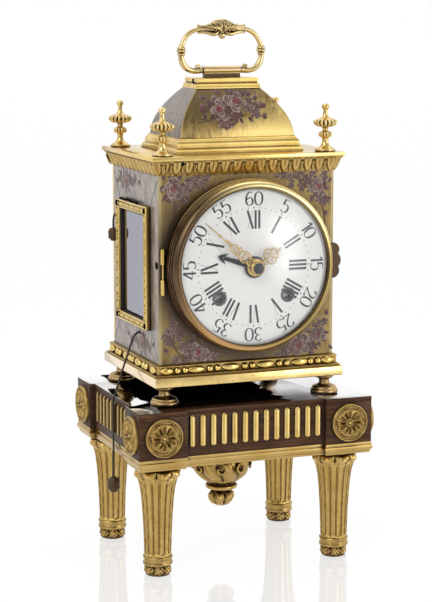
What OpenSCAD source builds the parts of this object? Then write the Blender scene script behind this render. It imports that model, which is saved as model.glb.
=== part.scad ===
// Small gilt and enamelled travelling clock with a bail handle, standing on its own
// four-legged wooden stand. Front faces -Y, +X is right, +Z up, floor at z = 0.

/* [Stand] */
// Width of the stand over its corner blocks
stand_w = 122.8; // [118:0.2:140]
// Depth of the stand over its corner blocks
stand_d = 99.6; // [96:0.2:115]
// Height of each leg, floor to gilt moulding
leg_h = 55.3; // [52:0.1:80]
// Height of the gilt moulding under the frieze
stand_mould_h = 5.6; // [4:0.1:8]
// Height of the wooden frieze and top together
frieze_h = 23.2; // [22:0.1:30]
// Thickness of the wooden top board
top_board_t = 2.4; // [1.6:0.1:4]
// Width of a corner block, seen from the front
block_w = 24.7; // [23:0.1:27]
// Width of a corner block, seen from the side
block_d = 21; // [20.5:0.1:24]
// Setback of the frieze between the blocks
recess = 2.7; // [2:0.1:3.5]
// Thickness of the frieze rails
rail_t = 8; // [5:0.5:10]
// Distance from a block's outer faces to its leg's axis
leg_inset = 13.9; // [12.5:0.1:15]
// Diameter of a leg's shaft at its top
shaft_top_d = 19; // [16:0.1:20]
// Diameter of a leg's shaft at its foot
shaft_foot_d = 14; // [12:0.1:15]
// Number of fillets round a leg's shaft
shaft_fillets = 14; // [10:1:18]
// Diameter of a rosette
rosette_d = 19.5; // [16:0.1:20]
// How far a rosette stands out of its block
rosette_out = 3.2; // [2.5:0.1:4]
// Distance between two flutes
flute_pitch = 5.55; // [5:0.05:7]
// Width of a flute
flute_w = 3.6; // [3:0.1:4.2]
// Length of a flute
flute_l = 16; // [13:0.1:17]
// How far a flute stands out of the rail
flute_out = 1.2; // [0.8:0.1:1.8]
// Height of the pendant below the moulding
pendant_drop = 34.1; // [28:0.1:36]

/* [Case] */
// Width of the clock's case
body_w = 92; // [91:0.2:98]
// Depth of the clock's case
body_d = 70.4; // [68:0.2:74]
// Height of the case walls
body_h = 92.2; // [90:0.2:100]
// Thickness of the case walls
case_wall = 1.6; // [1.2:0.1:2]
// Height of the clock's turned feet
foot_h = 9.8; // [8:0.1:13]
// Distance from the base plate's edges to a foot's axis
foot_inset = 7.1; // [6.9:0.1:9]
// Thickness of the base plate
base_plate_t = 4.7; // [3:0.1:6]
// How far the base plate stands out at the sides
base_out_side = 3.8; // [3.5:0.1:5]
// How far the base plate stands out at the front and back
base_out_front = 5.1; // [3.5:0.1:6]
// Height of the ornamented moulding on the base plate
base_mould_h = 5.8; // [5:0.1:8]
// Distance between two oval beads
oval_pitch = 18.4; // [16:0.1:20]
// Height of the cornice with its tongues
cornice_h = 7.2; // [6.4:0.1:9]
// Thickness of the slab on the cornice
slab_t = 2; // [1.6:0.1:3]
// How far the slab stands out of the case
slab_out = 4.4; // [4:0.1:5]
// Distance between two tongues of the cornice
tongue_pitch = 6.2; // [5.6:0.1:7]
// Height of a corner finial
finial_h = 23.6; // [20:0.1:28]
// Distance from the case's corner planes to a finial's axis
finial_inset = 3.2; // [2.6:0.1:4]

/* [Side windows] */
// Outer width of a window frame
window_w = 46.6; // [42:0.2:50]
// Outer height of a window frame
window_h = 61; // [56:0.2:66]
// Width of the frame's bars
window_bar = 4.2; // [3.6:0.1:5]
// How far the frame stands out of the wall
window_out = 2.2; // [1.6:0.1:3]
// How far the wall laps the glass behind it
glass_lap = 2.2; // [1.5:0.1:2.6]

/* [Dome and handle] */
// Width of the dome at its foot
dome_w = 60; // [58:0.2:64]
// Depth of the dome at its foot
dome_d = 44.5; // [43.6:0.1:50]
// Height of the moulding under the dome
dome_mould_h = 7.5; // [6:0.1:9]
// Height of the dome's curved walls
dome_h = 23.2; // [22:0.1:28]
// How far the dome's walls draw in
dome_draw = 12.9; // [11:0.1:13.5]
// Thickness of the dome's walls
dome_wall = 1.5; // [1:0.1:2]
// Height of the stepped cap
cap_h = 5.1; // [4.6:0.1:7]
// Height of the handle's axis above the cap
handle_up = 3.6; // [3.2:0.1:5]
// Width of the bail between its rod's centre lines
bail_w = 43; // [40:0.2:50]
// Height of the bail above its axis, to the rod's centre line
bail_h = 21.2; // [20.4:0.1:28]
// Diameter of the bail's rod
bail_d = 2.8; // [2.4:0.1:3.2]
// Diameter of the tube that carries the bail
handle_tube_d = 4; // [3.6:0.1:5]
// Length of the tube that carries the bail
handle_tube_l = 19.8; // [16:0.1:20]

/* [Dial and door] */
// Distance from the round front door to the sides of the case
bezel_margin = 3.3; // [2.6:0.1:4]
// Width of the round front door's ring
bezel_w = 3.25; // [3:0.05:4]
// Depth of the round front door without its glass
bezel_depth = 11; // [10.4:0.1:13]
// Rise of the convex glass above the door's rim
glass_rise = 6.8; // [6.4:0.1:7.6]
// Thickness of the convex glass
glass_t = 1.1; // [0.8:0.1:1.3]
// Height of the dial's centre above the middle of the case walls
dial_up = 1.1; // [0:0.1:1.4]
// Thickness of the dial
dial_t = 1.3; // [1:0.1:1.6]
// Distance of the dial's face from the case front
dial_out = 8.6; // [8:0.1:9]
// Sideways distance of a winding square from the dial's centre
wind_x = 17.95; // [17.4:0.05:18.6]
// Height of the winding squares below the dial's centre
wind_drop = 14.6; // [14:0.05:15.4]
// Diameter of a winding hole
wind_hole_d = 6.9; // [6:0.1:7.4]
// Length of the minute hand
minute_l = 34; // [30:0.1:35]
// Length of the hour hand
hour_l = 16.6; // [15:0.1:19]
// Length of the alarm hand
alarm_l = 19.6; // [16:0.1:21]

/* [Movement] */
// Distance between the two movement plates
plate_gap = 34.4; // [34.2:0.1:36]
// Thickness of a movement plate
plate_t = 2.2; // [1.8:0.1:2.6]
// Distance from the movement plates to the sides of the case
plate_margin = 12; // [11.6:0.1:12.4]
// How far the movement plates reach above the dial's centre
plate_up = 34.4; // [34:0.1:36]
// How far the movement plates reach below the dial's centre
plate_down = 38.6; // [37.6:0.1:40]
// Thickness of the great wheels
great_t = 1.8; // [1.4:0.1:2]
// Diameter of a barrel
barrel_d = 32; // [28:0.1:32.6]
// Diameter of the winding arbors
wind_arbor_d = 4.4; // [4:0.1:4.8]
// Width across the winding squares
wind_square = 2.8; // [2.4:0.1:3]
// Diameter of the train's arbors
arbor_d = 1.8; // [1.4:0.1:2]
// Radial clearance of an arbor in its hole
run_gap = 0.05; // [0.03:0.01:0.08]
// Diameter of the balance wheel
balance_d = 20; // [17:0.1:21]
// Diameter of the bell at its mouth
bell_d = 33; // [30:0.1:34]
// Height of the bell
bell_h = 12.4; // [11:0.1:14]

/* [Pull cord] */
// Diameter of the pull cord
cord_d = 1; // [0.8:0.05:1.2]
// Diameter of the long end's knob
long_knob_d = 6.1; // [5:0.1:7]
// Height of the long end's knob
long_knob_h = 6.4; // [5:0.1:9]
// Diameter of the short end's knob
short_knob_d = 5.3; // [4.6:0.1:5.4]
// Height of the short end's knob
short_knob_h = 5.6; // [4.6:0.1:8]

/* [Hidden] */
$fn = 48;
face_gap = 0.05;
z_frieze = leg_h + stand_mould_h;
z_stand = z_frieze + frieze_h;
z_base = z_stand + foot_h;
z_mould = z_base + base_plate_t;
z_body = z_mould + base_mould_h;
z_wall_top = z_body + body_h;
z_slab = z_wall_top + cornice_h;
z_top = z_slab + slab_t;
z_dome = z_top + dome_mould_h;
z_cap = z_dome + dome_h;
z_handle = z_cap + cap_h + handle_up;
hw = body_w / 2;
hd = body_d / 2;
base_hw = hw + base_out_side;
base_hd = hd + base_out_front;
leg_x = stand_w / 2 - leg_inset;
leg_y = stand_d / 2 - leg_inset;
block_z0 = z_frieze;
block_z1 = z_stand - top_board_t;
rosette_z = (block_z0 + block_z1) / 2 + 0.3;

// dial and round door, seen from the front; y runs backwards from the viewer
dial_z = z_body + body_h / 2 + dial_up;
bezel_r = hw - bezel_margin;
bezel_bore_r = bezel_r - bezel_w;
y_front = -hd;
y_rim = y_front - bezel_depth;
y_dial = y_front - dial_out;
y_glass = y_rim - glass_rise;
ring_r = bezel_bore_r - 0.7;
ring_wall = 1.2;

// movement
y_plate_f = y_front + 4.6;
y_in_f = y_plate_f + plate_t;
y_in_b = y_in_f + plate_gap;
y_plate_b = y_in_b + plate_t;
plate_w = body_w - 2 * plate_margin;
centre_pos = [0, dial_z];
going_pos = centre_pos + [wind_x, -wind_drop];
strike_pos = centre_pos + [-wind_x, -wind_drop];
barrel_reach = norm([wind_x, wind_drop]);
great_teeth = 72;
centre_leaves = 12;
great_m = 2 * barrel_reach / (great_teeth + centre_leaves);
y_going = y_in_f + 1.8;
barrel_l = 14.6;
y_strike = y_going + great_t + 0.6;
y_strike_wheel = y_strike + barrel_l;

// third wheel is driven by the centre wheel, and so on up to the balance
wheel_t = 1.2;
centre_teeth = 64;
third_teeth = 60;
fourth_teeth = 60;
leaves = 8;
centre_m = 0.45;
third_m = 0.40;
fourth_m = 0.35;
third_a = 55;
fourth_a = 120;
escape_a = 20;
third_pos = away(centre_pos, mesh_gap(centre_teeth, leaves, centre_m), third_a);
fourth_pos = away(third_pos, mesh_gap(third_teeth, leaves, third_m), fourth_a);
escape_pos = away(fourth_pos, mesh_gap(fourth_teeth, leaves, fourth_m), escape_a);
escape_r = 6;
staff_r = 0.8;
balance_pos = escape_pos + [escape_r + staff_r + 0.3, 0];
y_centre_wheel = y_in_b - 11;
y_third_wheel = y_in_f + 8.4;
y_fourth_wheel = y_in_f + 14.4;
y_escape_wheel = y_in_f + 19.4;
y_balance = y_plate_b + 2.8;
balance_t = 1.4;

// striking train
pin_a = 95;
fly_a = 75;
pin_teeth = 60;
pin_m = 0.45;
pin_pos = away(strike_pos, barrel_reach, pin_a);
fly_pos = away(pin_pos, mesh_gap(pin_teeth, leaves, pin_m), fly_a);
y_pin_wheel = y_in_b - 7.6;
hammer_pos = centre_pos + [-26, 24.5];
bell_z = z_top + 3.2;
hammer_head_r = 2.4;
hammer_tip = [-(bell_d / 2 + hammer_head_r + 0.6), bell_z + 1.6];
y_hammer = y_in_b - 5;
hammer_t = 1.6;

// work under the dial
minute_teeth = 36;
cannon_teeth = 12;
hour_teeth = 40;
minute_leaves = 10;
motion_m = 0.5;
motion_gap = mesh_gap(minute_teeth, cannon_teeth, motion_m);
hour_m = 2 * motion_gap / (hour_teeth + minute_leaves);
minute_pos = centre_pos + [0, motion_gap];
centre_r = 1.2;
cannon_r = 2.3;
hour_pipe_r = 3.3;
alarm_pipe_r = 4.1;
pipe_gap = 0.1;
y_cannon = y_plate_f - 2;
minute_a = 138.9;
hour_a = 34;
alarm_a = 162;
hand_t = 0.6;
y_alarm_hand = y_dial - 0.9;
y_hour_hand = y_dial - 2.2;
y_minute_hand = y_dial - 5;
minute_tilt = 5.7;

// hinges of the round door and the rear door
knuckle_r = 1.15;
knuckle_l = 7.1;
knuckle_gap = 0.2;
hinge_pin_r = 0.5;
hinge_out = 1.2;
bezel_hinge = [-(bezel_r + 1.6), y_front - hinge_out];
hinge_z0 = dial_z - 12.3;
rear_door_w = body_w - 14;
rear_door_h = body_h - 8.2;
rear_hinge = [-(rear_door_w / 2 + 0.4), hd + hinge_out];

// pull cord: pulley inside the left wall, and the route's hand-chosen points
pulley_r = 12;
pulley_x = 6.8 - hw;
pulley_y = 7.5;
pulley_z = 148;
short_end = [-48.8, 26.2, 165];
long_end = [-60.5, -7, 43.4];
cord_exit_low = [-46, -5, 116];
cord_exit_high = [-46, 26.2, 172.5];
cord_route = [
    short_end, [-48.8, 26.2, 168], [-48.6, 26.2, 170.4], [-47.8, 26.2, 172],
    [-46, 26.2, 172.5], [-43.6, 26.2, 172.4], [-41, 25.4, 171.6], [-39.6, 23, 169.8],
    [-39.2, 18, 167], [-39.2, 10, 163.4], [-39.2, 2, 159.8], [-39.2, -1, 157.8],
    [-39.2, -3.4, 155.1], [-39.2, -4.9, 151.8], [-39.2, -5.5, 148], [-39.2, -5.5, 136],
    [-39.2, -5.4, 124], [-39.8, -5.2, 119.6], [-41.6, -5, 117], [-44, -5, 116.2],
    cord_exit_low, [-48, -5.1, 115], [-49.6, -5.3, 112.4], [-52.4, -5.7, 105],
    [-56, -6.3, 95.4], [-59.4, -6.9, 86], [-60.3, -7, 83.2], [-60.5, -7, 80],
    [-60.5, -7, 62], long_end
];
cord_step = 2.6;

// ---- helpers ----
function away(from, dist, angle) = from + dist * [cos(angle), sin(angle)];
function mesh_gap(a, b, m) = m * (a + b) / 2;
function bearing(a, b) = atan2(b[1] - a[1], b[0] - a[0]);

// mirrors a child to both sides of x and y
module four(x, y) {
    for (sx = [-1, 1], sy = [-1, 1]) translate([sx * x, sy * y, 0]) children();
}

module block(hx, hy, z0, z1) {
    translate([-hx, -hy, z0]) cube([2 * hx, 2 * hy, z1 - z0]);
}

// a child drawn in x and y stands upright facing the viewer, its back at depth y
module facing(pos, y) {
    translate([pos[0], y, pos[1]]) rotate([90, 0, 0]) children();
}

// a round bar from depth y0 back to y1
module bar(pos, r, y0, y1) {
    facing(pos, y1) cylinder(r = r, h = y1 - y0);
}

// a toothed outline with a tooth at angle 0
module teeth(n, m, bore = 0, slack = 0.19) {
    step = 360 / n;
    tip = m * n / 2 + 0.75 * m;
    root = m * n / 2 - 1.1 * m;
    difference() {
        polygon([for (i = [0 : n - 1], p = [[root, -slack - 0.07], [tip, -slack + 0.1],
            [tip, slack - 0.1], [root, slack + 0.07]])
            p[0] * [cos((i + p[1]) * step), sin((i + p[1]) * step)]]);
        if (bore > 0) circle(r = bore);
    }
}

// a wheel of thickness t whose tooth (or gap, if gap is true) points at angle a
module wheel(pos, y, t, n, m, a, gap = false, bore = 0) {
    facing(pos, y + t) linear_extrude(t)
        rotate(a + (gap ? 180 / n : 0)) teeth(n, m, bore);
}

// plan of the stand: a rectangle whose four corner blocks stand forward
module stand_plan(e) {
    x0 = stand_w / 2 + e;
    y0 = stand_d / 2 + e;
    xi = stand_w / 2 - block_w - e;
    yi = stand_d / 2 - block_d - e;
    union() {
        square([2 * (x0 - recess), 2 * (y0 - recess)], center = true);
        for (sx = [-1, 1], sy = [-1, 1])
            translate([sx * (x0 + xi) / 2, sy * (y0 + yi) / 2])
                square([x0 - xi, y0 - yi], center = true);
    }
}

// a tube along points, carried without twist
function unit(v) = v / norm(v);
function across(u, t) = unit(u - (u * t) * t);
function refine(pts, step) = [
    for (i = [0 : len(pts) - 2])
        let (n = ceil(norm(pts[i + 1] - pts[i]) / step))
            for (k = [0 : n - 1]) pts[i] + (pts[i + 1] - pts[i]) * k / n,
    pts[len(pts) - 1]
];
module tube(pts, r, sides) {
    n = len(pts);
    tan = [for (i = [0 : n - 1])
        unit(pts[min(i + 1, n - 1)] - pts[max(i - 1, 0)])];
    side = [for (i = 0, u = across([0, 1, 0], tan[0]); i < n;
        i = i + 1, u = i < n ? across(u, tan[i]) : u) u];
    ring = [for (i = [0 : n - 1], k = [0 : sides - 1])
        let (a = 360 * k / sides, w = cross(tan[i], side[i]))
            pts[i] + r * (cos(a) * side[i] + sin(a) * w)];
    walls = [for (i = [0 : n - 2], k = [0 : sides - 1])
        let (a = i * sides + k, b = i * sides + (k + 1) % sides)
            [a, a + sides, b + sides, b]];
    caps = [[for (k = [0 : sides - 1]) k],
        [for (k = [sides - 1 : -1 : 0]) (n - 1) * sides + k]];
    polyhedron(ring, concat(walls, caps));
}

// ---- stand ----
module stand_top() {
    color("saddlebrown") translate([0, 0, block_z1])
        linear_extrude(top_board_t) stand_plan(0);
}

module stand_frame() {
    x0 = stand_w / 2;
    y0 = stand_d / 2;
    color("saddlebrown") {
        four(x0 - block_w / 2, y0 - block_d / 2)
            block(block_w / 2, block_d / 2, block_z0, block_z1);
        for (s = [-1, 1]) {
            translate([0, s * (y0 - recess - rail_t / 2), 0])
                block(x0 - block_w, rail_t / 2, block_z0, block_z1);
            translate([s * (x0 - recess - rail_t / 2), 0, 0])
                block(rail_t / 2, y0 - block_d, block_z0, block_z1);
        }
        floor_x = min(x0 - block_w, x0 - recess - rail_t);
        floor_y = y0 - recess - rail_t;
        block(floor_x, floor_y, block_z0, block_z0 + 3);
    }
}

module stand_moulding() {
    steps = [[0, 0.25, -0.4], [0.25, 0.75, 0.5], [0.75, 1, 0]];
    color("goldenrod") for (s = steps)
        translate([0, 0, leg_h + s[0] * stand_mould_h])
            linear_extrude((s[1] - s[0]) * stand_mould_h) difference() {
                stand_plan(s[2]);
                square([2 * leg_x - 26, 2 * leg_y - 26], center = true);
            }
}

module flute(l) {
    linear_extrude(flute_out) {
        translate([-flute_w / 2, -l / 2 + flute_w / 2]) square([flute_w, l - flute_w]);
        for (s = [-1, 1]) translate([0, s * (l - flute_w) / 2]) circle(d = flute_w, $fn = 24);
    }
}

module flute_row(width, reach) {
    n = floor((width - flute_w - 1) / flute_pitch / 2);
    for (i = [-n : n], s = [0, 180])
        rotate([0, 0, s]) facing([i * flute_pitch, rosette_z + 1.6], -reach) flute(flute_l);
}

module flutes() {
    color("gold") {
        flute_row(stand_w - 2 * block_w, stand_d / 2 - recess);
        rotate([0, 0, 90]) flute_row(stand_d - 2 * block_d, stand_w / 2 - recess);
    }
}

module rosette() {
    r = rosette_d / 2;
    rotate_extrude() polygon([[0, 0], [r, 0], [r, 1.2], [r - 0.9, 1.9], [r - 2.2, 1.5],
        [r * 0.6, rosette_out - 0.7], [r * 0.36, rosette_out - 0.9],
        [r * 0.28, rosette_out - 0.1], [0, rosette_out]]);
}

module rosettes() {
    bx = stand_w / 2 - block_w / 2;
    by = stand_d / 2 - block_d / 2;
    color("gold") for (s = [0, 180], k = [-1, 1]) {
        rotate([0, 0, s]) facing([k * bx, rosette_z], -stand_d / 2) rosette();
        rotate([0, 0, 90 + s]) facing([k * by, rosette_z], -stand_w / 2) rosette();
    }
}

cap_z = leg_h - 10.8;
toe_h = 10;
module leg_capitals() {
    r = shaft_top_d / 2;
    color("goldenrod") four(leg_x, leg_y) translate([0, 0, cap_z]) rotate_extrude()
        polygon([[0, 0], [r, 0], [r + 0.3, 2.2], [r + 1, 4.4], [r + 2, 6], [r + 2.4, 7.2],
            [r + 2.2, 8.4], [r + 1.2, 9.2], [r + 0.1, 9.4], [r, leg_h - cap_z],
            [0, leg_h - cap_z]]);
}

module leg_shafts() {
    r = shaft_foot_d / 2;
    step = 360 / shaft_fillets;
    color("gold") four(leg_x, leg_y) translate([0, 0, toe_h])
        linear_extrude(cap_z - toe_h, scale = shaft_top_d / shaft_foot_d)
            polygon([for (i = [0 : shaft_fillets - 1],
                p = [[r, -0.27], [r, 0.27], [r - 1, 0.37], [r - 1, 0.63]])
                p[0] * [cos((i + p[1]) * step), sin((i + p[1]) * step)]]);
}

module leg_toes() {
    r = shaft_foot_d / 2;
    color("goldenrod") four(leg_x, leg_y) rotate_extrude()
        polygon([[0, 0], [r - 0.5, 0], [r, 0.8], [r, 3.2], [r - 0.8, 4.2], [r + 0.6, 5.4],
            [r + 0.6, 9.2], [r, toe_h], [0, toe_h]]);
}

module pendant() {
    k = pendant_drop / 34.1;
    color("gold") translate([0, 0, leg_h - pendant_drop]) rotate_extrude()
        polygon(concat([for (p = [[0, 0], [2.2, 0.7], [4.6, 2.4], [6.1, 5.3], [5.2, 7.4],
            [3.4, 8.6], [5, 9.4], [8, 10.2], [8, 11.6], [6.4, 12.4], [9.5, 14], [12.8, 16.2],
            [14.5, 18.8], [15.6, 22.2], [15.6, 25.3], [13, 27.4], [10.5, 29.3], [9.5, 32.8]])
            [p[0], p[1] * k]],
            [[9.5, z_frieze - leg_h + pendant_drop], [0, z_frieze - leg_h + pendant_drop]]));
}

// ---- case of the clock ----
module clock_feet() {
    k = foot_h / 9.8;
    color("darkgoldenrod") four(base_hw - foot_inset, base_hd - foot_inset)
        translate([0, 0, z_stand]) rotate_extrude()
            polygon([for (p = [[0, 0], [5.6, 0], [6.8, 1], [6.8, 2.2], [5.2, 3.2], [3, 4.4],
                [2.6, 5.6], [2.6, 7.2], [4.2, 8.2], [4.2, 9.8], [0, 9.8]]) [p[0], p[1] * k]]);
}

module base_plate() {
    color("gold") block(base_hw, base_hd, z_base, z_mould);
}

module spindle(l, r) {
    rotate([0, 90, 0]) rotate_extrude($fn = 24)
        polygon([for (i = [0 : 8]) [r * sin(22.5 * i), -cos(22.5 * i) * l / 2]]);
}

module bead_row(half, reach) {
    z = z_mould + base_mould_h * 0.5;
    end_x = half - 5;
    n = floor((end_x - 6) / oval_pitch);
    even = 2 * n * oval_pitch + oval_pitch < 2 * end_x - 8 ? 1 : 0;
    ovals = [for (i = [-n : n + even]) (i - even / 2) * oval_pitch];
    xs = concat([-end_x], [for (x = ovals) if (abs(x) < end_x - 9) x], [end_x]);
    for (i = [0 : len(xs) - 1], s = [0, 180]) rotate([0, 0, s]) {
        wide = i == 0 || i == len(xs) - 1 ? 7.6 : 9.6;
        translate([xs[i], -reach, z]) spindle(wide, 1.8);
        if (i > 0) for (k = [-2, 2])
            translate([(xs[i] + xs[i - 1]) / 2 + k, -reach, z]) sphere(r = 1.4, $fn = 24);
    }
}

module base_moulding() {
    z1 = z_mould + base_mould_h * 0.18;
    z2 = z_body - base_mould_h * 0.18;
    color("gold") {
        block(hw + 3, hd + 3, z_mould, z1);
        block(hw + 1.6, hd + 1.6, z1, z2);
        block(hw + 1, hd + 1, z2, z_body);
        bead_row(hw + 1.6, hd + 1.6);
        rotate([0, 0, 90]) bead_row(hd + 1.6, hw + 1.6);
    }
}

module case_posts() {
    color("darkgoldenrod") four(hw - case_wall - 2.5, hd - case_wall - 2.5)
        block(2.5, 2.5, z_body, z_wall_top);
}

module front_plate() {
    color("darkkhaki") difference() {
        translate([-hw, y_front, z_body]) cube([body_w, case_wall, body_h]);
        bar(centre_pos, ring_r + 0.2, y_front - 1, y_front + case_wall + 1);
    }
}

module window_plan(inset) {
    z_mid = window_z();
    translate([-window_w / 2 + inset, z_mid - window_h / 2 + inset])
        square([window_w - 2 * inset, window_h - 2 * inset]);
}

function window_z() = z_body + body_h / 2 - 0.5;

// turns a plan drawn in y and z into a plate between x0 and x0 + t
module sideways(x0, t) {
    translate([x0, 0, 0]) rotate([90, 0, 90]) linear_extrude(t) children();
}

module side_plaques(x0) {
    yo = hd - case_wall;
    yi = window_w / 2 - window_bar;
    zi = window_h / 2 - window_bar;
    zm = window_z();
    outer = [[-yo, z_body], [yo, z_body], [yo, z_wall_top], [-yo, z_wall_top]];
    inner = [[-yi, zm - zi], [yi, zm - zi], [yi, zm + zi], [-yi, zm + zi]];
    for (i = [0 : 3])
        sideways(x0, case_wall)
            polygon([outer[i], outer[(i + 1) % 4], inner[(i + 1) % 4], inner[i]]);
}

module side_plaques_left() {
    color("thistle") difference() {
        side_plaques(-hw);
        for (p = [cord_exit_low, cord_exit_high])
            translate([-hw - 1, p[1], p[2]]) rotate([0, 90, 0])
                cylinder(r = cord_d / 2 + 0.5, h = case_wall + 2);
    }
}

module side_plaques_right() {
    color("thistle") side_plaques(hw - case_wall);
}

module window_frames() {
    color("gold") for (x = [-hw - window_out, hw])
        sideways(x, window_out) difference() {
            window_plan(0);
            window_plan(window_bar);
        }
}

module window_glasses() {
    color("lightblue", 0.4) for (x = [case_wall - hw, hw - case_wall - 1.4])
        sideways(x, 1.4) window_plan(window_bar - glass_lap);
}

module window_screws() {
    dy = window_w / 2 - window_bar / 2;
    dz = window_h / 2 - window_bar / 2;
    color("dimgray") for (s = [-1, 1], sy = [-1, 1], sz = [-1, 1])
        translate([s * (hw + window_out), sy * dy, window_z() + sz * dz])
            rotate([0, 90 * s, 0]) cylinder(r = 0.8, h = 0.4, $fn = 24);
}

module rear_plate() {
    color("darkkhaki") translate([0, hd, 0]) difference() {
        translate([-hw, -case_wall, z_body]) cube([body_w, case_wall, body_h]);
        translate([-rear_door_w / 2 + 5, -case_wall - 1, dial_z - rear_door_h / 2 + 5])
            cube([rear_door_w - 10, case_wall + 2, rear_door_h - 10]);
    }
}

// one knuckle round the hinge's pin, with its bore
module knuckle(at, k, leaf_x, leaf_y) {
    z0 = hinge_z0 + k * (knuckle_l + knuckle_gap);
    difference() {
        union() {
            translate([at[0], at[1], z0]) cylinder(r = knuckle_r, h = knuckle_l);
            translate([at[0] + leaf_x[0], at[1] + leaf_y[0], z0])
                cube([leaf_x[1] - leaf_x[0], leaf_y[1] - leaf_y[0], knuckle_l]);
        }
        translate([at[0], at[1], z0 - 1])
            cylinder(r = hinge_pin_r + run_gap, h = knuckle_l + 2);
    }
}

module hinge_pin(at) {
    l = 3 * knuckle_l + 2 * knuckle_gap;
    translate([at[0], at[1], hinge_z0]) {
        cylinder(r = hinge_pin_r, h = l);
        for (z = [-0.5, l]) translate([0, 0, z]) cylinder(r = 0.9, h = 0.5);
    }
}

module hinge_knuckles() {
    color("gold") {
        for (k = [0, 2]) {
            knuckle(bezel_hinge, k, [-knuckle_r, 0], [0, hinge_out]);
            knuckle(rear_hinge, k, [-knuckle_r, 0], [-hinge_out, 0]);
        }
        hinge_pin(bezel_hinge);
        hinge_pin(rear_hinge);
    }
}

module rear_door() {
    z0 = dial_z - rear_door_h / 2;
    y0 = hd + face_gap;
    color("darkkhaki") {
        difference() {
            union() {
                translate([-rear_door_w / 2 + 1.2, y0, z0])
                    cube([rear_door_w - 1.2, case_wall, rear_door_h]);
                knuckle(rear_hinge, 1, [0, 2], [-0.9, 0.4]);
            }
            translate([rear_hinge[0], rear_hinge[1], z0 - 1])
                cylinder(r = hinge_pin_r + run_gap, h = rear_door_h + 2);
        }
        translate([rear_door_w / 2 - 5, y0 + case_wall, dial_z]) rotate([-90, 0, 0])
            rotate_extrude() polygon([[0, 0], [2.4, 0], [1.1, 0.8], [1.1, 2], [2.2, 2.8],
                [2.2, 4], [1.2, 4.8], [0, 4.8]]);
    }
}

module tongue_row(half, reach) {
    lean = 3.1;
    tilt = atan2(lean, cornice_h);
    h = cornice_h - 0.8;
    w = tongue_pitch - 0.8;
    n = floor(2 * (half + 1) / tongue_pitch);
    for (i = [0 : n - 1], s = [0, 180])
        rotate([0, 0, s])
            translate([(i - (n - 1) / 2) * tongue_pitch, 0.3 - reach, z_wall_top])
            rotate([tilt, 0, 0]) rotate([90, 0, 0]) linear_extrude(1.3)
                polygon([[0, 0.2], [w / 2 - 0.4, 2], [w / 2, h], [-w / 2, h],
                    [-w / 2 + 0.4, 2]]);
}

module cornice() {
    x0 = hw + 0.3;
    y0 = hd + 0.3;
    color("gold") {
        difference() {
            translate([0, 0, z_wall_top])
                linear_extrude(cornice_h, scale = [(x0 + 3.1) / x0, (y0 + 3.1) / y0])
                    square([2 * x0, 2 * y0], center = true);
            block(hw - 4, hd - 4, z_wall_top - 1, z_slab + 1);
        }
        tongue_row(hw, y0);
        rotate([0, 0, 90]) tongue_row(hd, x0);
    }
}

module cornice_slab() {
    color("gold") difference() {
        block(hw + slab_out, hd + slab_out, z_slab, z_top);
        block(27, 19.5, z_slab - 1, z_top + 1);
    }
}

module finials() {
    k = finial_h / 23.6;
    color("gold") four(hw - finial_inset, hd - finial_inset) translate([0, 0, z_top])
        rotate_extrude() polygon([for (p = [[0, 0], [4.9, 0], [4.9, 1.2], [3.6, 2],
            [2.6, 2.8], [1.9, 4.2], [1.9, 6.6], [3.2, 7.4], [3.8, 8.4], [3.2, 9.4],
            [1.7, 10.2], [1.7, 12], [4.6, 12.6], [6.4, 14], [6.4, 15.2], [4.8, 16.4],
            [2.2, 17], [1.4, 18], [1.4, 20.6], [1.9, 21.4], [1.9, 22.6], [1.1, 23.5],
            [0, 23.6]]) [p[0], p[1] * k]]);
}

module dome_moulding() {
    steps = [[0, 0.26, 3.65], [0.26, 0.5, 2.3], [0.5, 0.74, 0.9], [0.74, 1, 0.2]];
    color("gold") difference() {
        for (s = steps) block(dome_w / 2 + s[2], dome_d / 2 + s[2],
            z_top + s[0] * dome_mould_h, z_top + s[1] * dome_mould_h);
        block(dome_w / 2 - dome_wall, dome_d / 2 - dome_wall, z_top - 1, z_dome + 1);
    }
}

// half width and depth of the dome's skin at the share t of its height
function dome_ring(t, wall) = let (in = dome_draw * pow(t, 1.85) + wall,
    x = dome_w / 2 - in, y = dome_d / 2 - in, z = z_dome + t * dome_h)
    [[-x, -y, z], [x, -y, z], [x, y, z], [-x, y, z]];

module dome_shell() {
    n = 14;
    skin = [for (wall = [0, dome_wall], i = [0 : n], p = dome_ring(i / n, wall)) p];
    inner = 4 * (n + 1);
    walls = [for (i = [0 : n - 1], k = [0 : 3], s = [0, 1])
        let (a = s * inner + 4 * i + k, b = s * inner + 4 * i + (k + 1) % 4)
            s == 0 ? [a, a + 4, b + 4, b] : [a, b, b + 4, a + 4]];
    rims = [for (k = [0 : 3], s = [0, 1])
        let (a = s * 4 * n + k, b = s * 4 * n + (k + 1) % 4)
            s == 0 ? [a, b, b + inner, a + inner] : [a, a + inner, b + inner, b]];
    color("darkkhaki") polyhedron(skin, concat(walls, rims));
}

cap_hw = dome_w / 2 - dome_draw;
cap_hd = dome_d / 2 - dome_draw;
module dome_cap() {
    color("gold") {
        block(cap_hw, cap_hd + 0.5, z_cap, z_cap + cap_h * 0.5);
        block(cap_hw - 0.9, cap_hd - 0.4, z_cap + cap_h * 0.5, z_cap + cap_h * 0.62);
        block(cap_hw - 1.6, cap_hd - 1.1, z_cap + cap_h * 0.62, z_cap + cap_h);
    }
}

module along_x(x0, x1, r, z) {
    translate([x0, 0, z]) rotate([0, 90, 0]) cylinder(r = r, h = x1 - x0);
}

pivot_r = 1;
pivot_l = 5;
module handle_tube() {
    half = handle_tube_l / 2;
    color("goldenrod") difference() {
        union() {
            along_x(-half, half, handle_tube_d / 2, z_handle);
            block(half - 0.4, 1.5, z_cap + cap_h, z_handle);
        }
        along_x(-half - 1, half + 1, pivot_r + run_gap, z_handle);
    }
}

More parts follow.
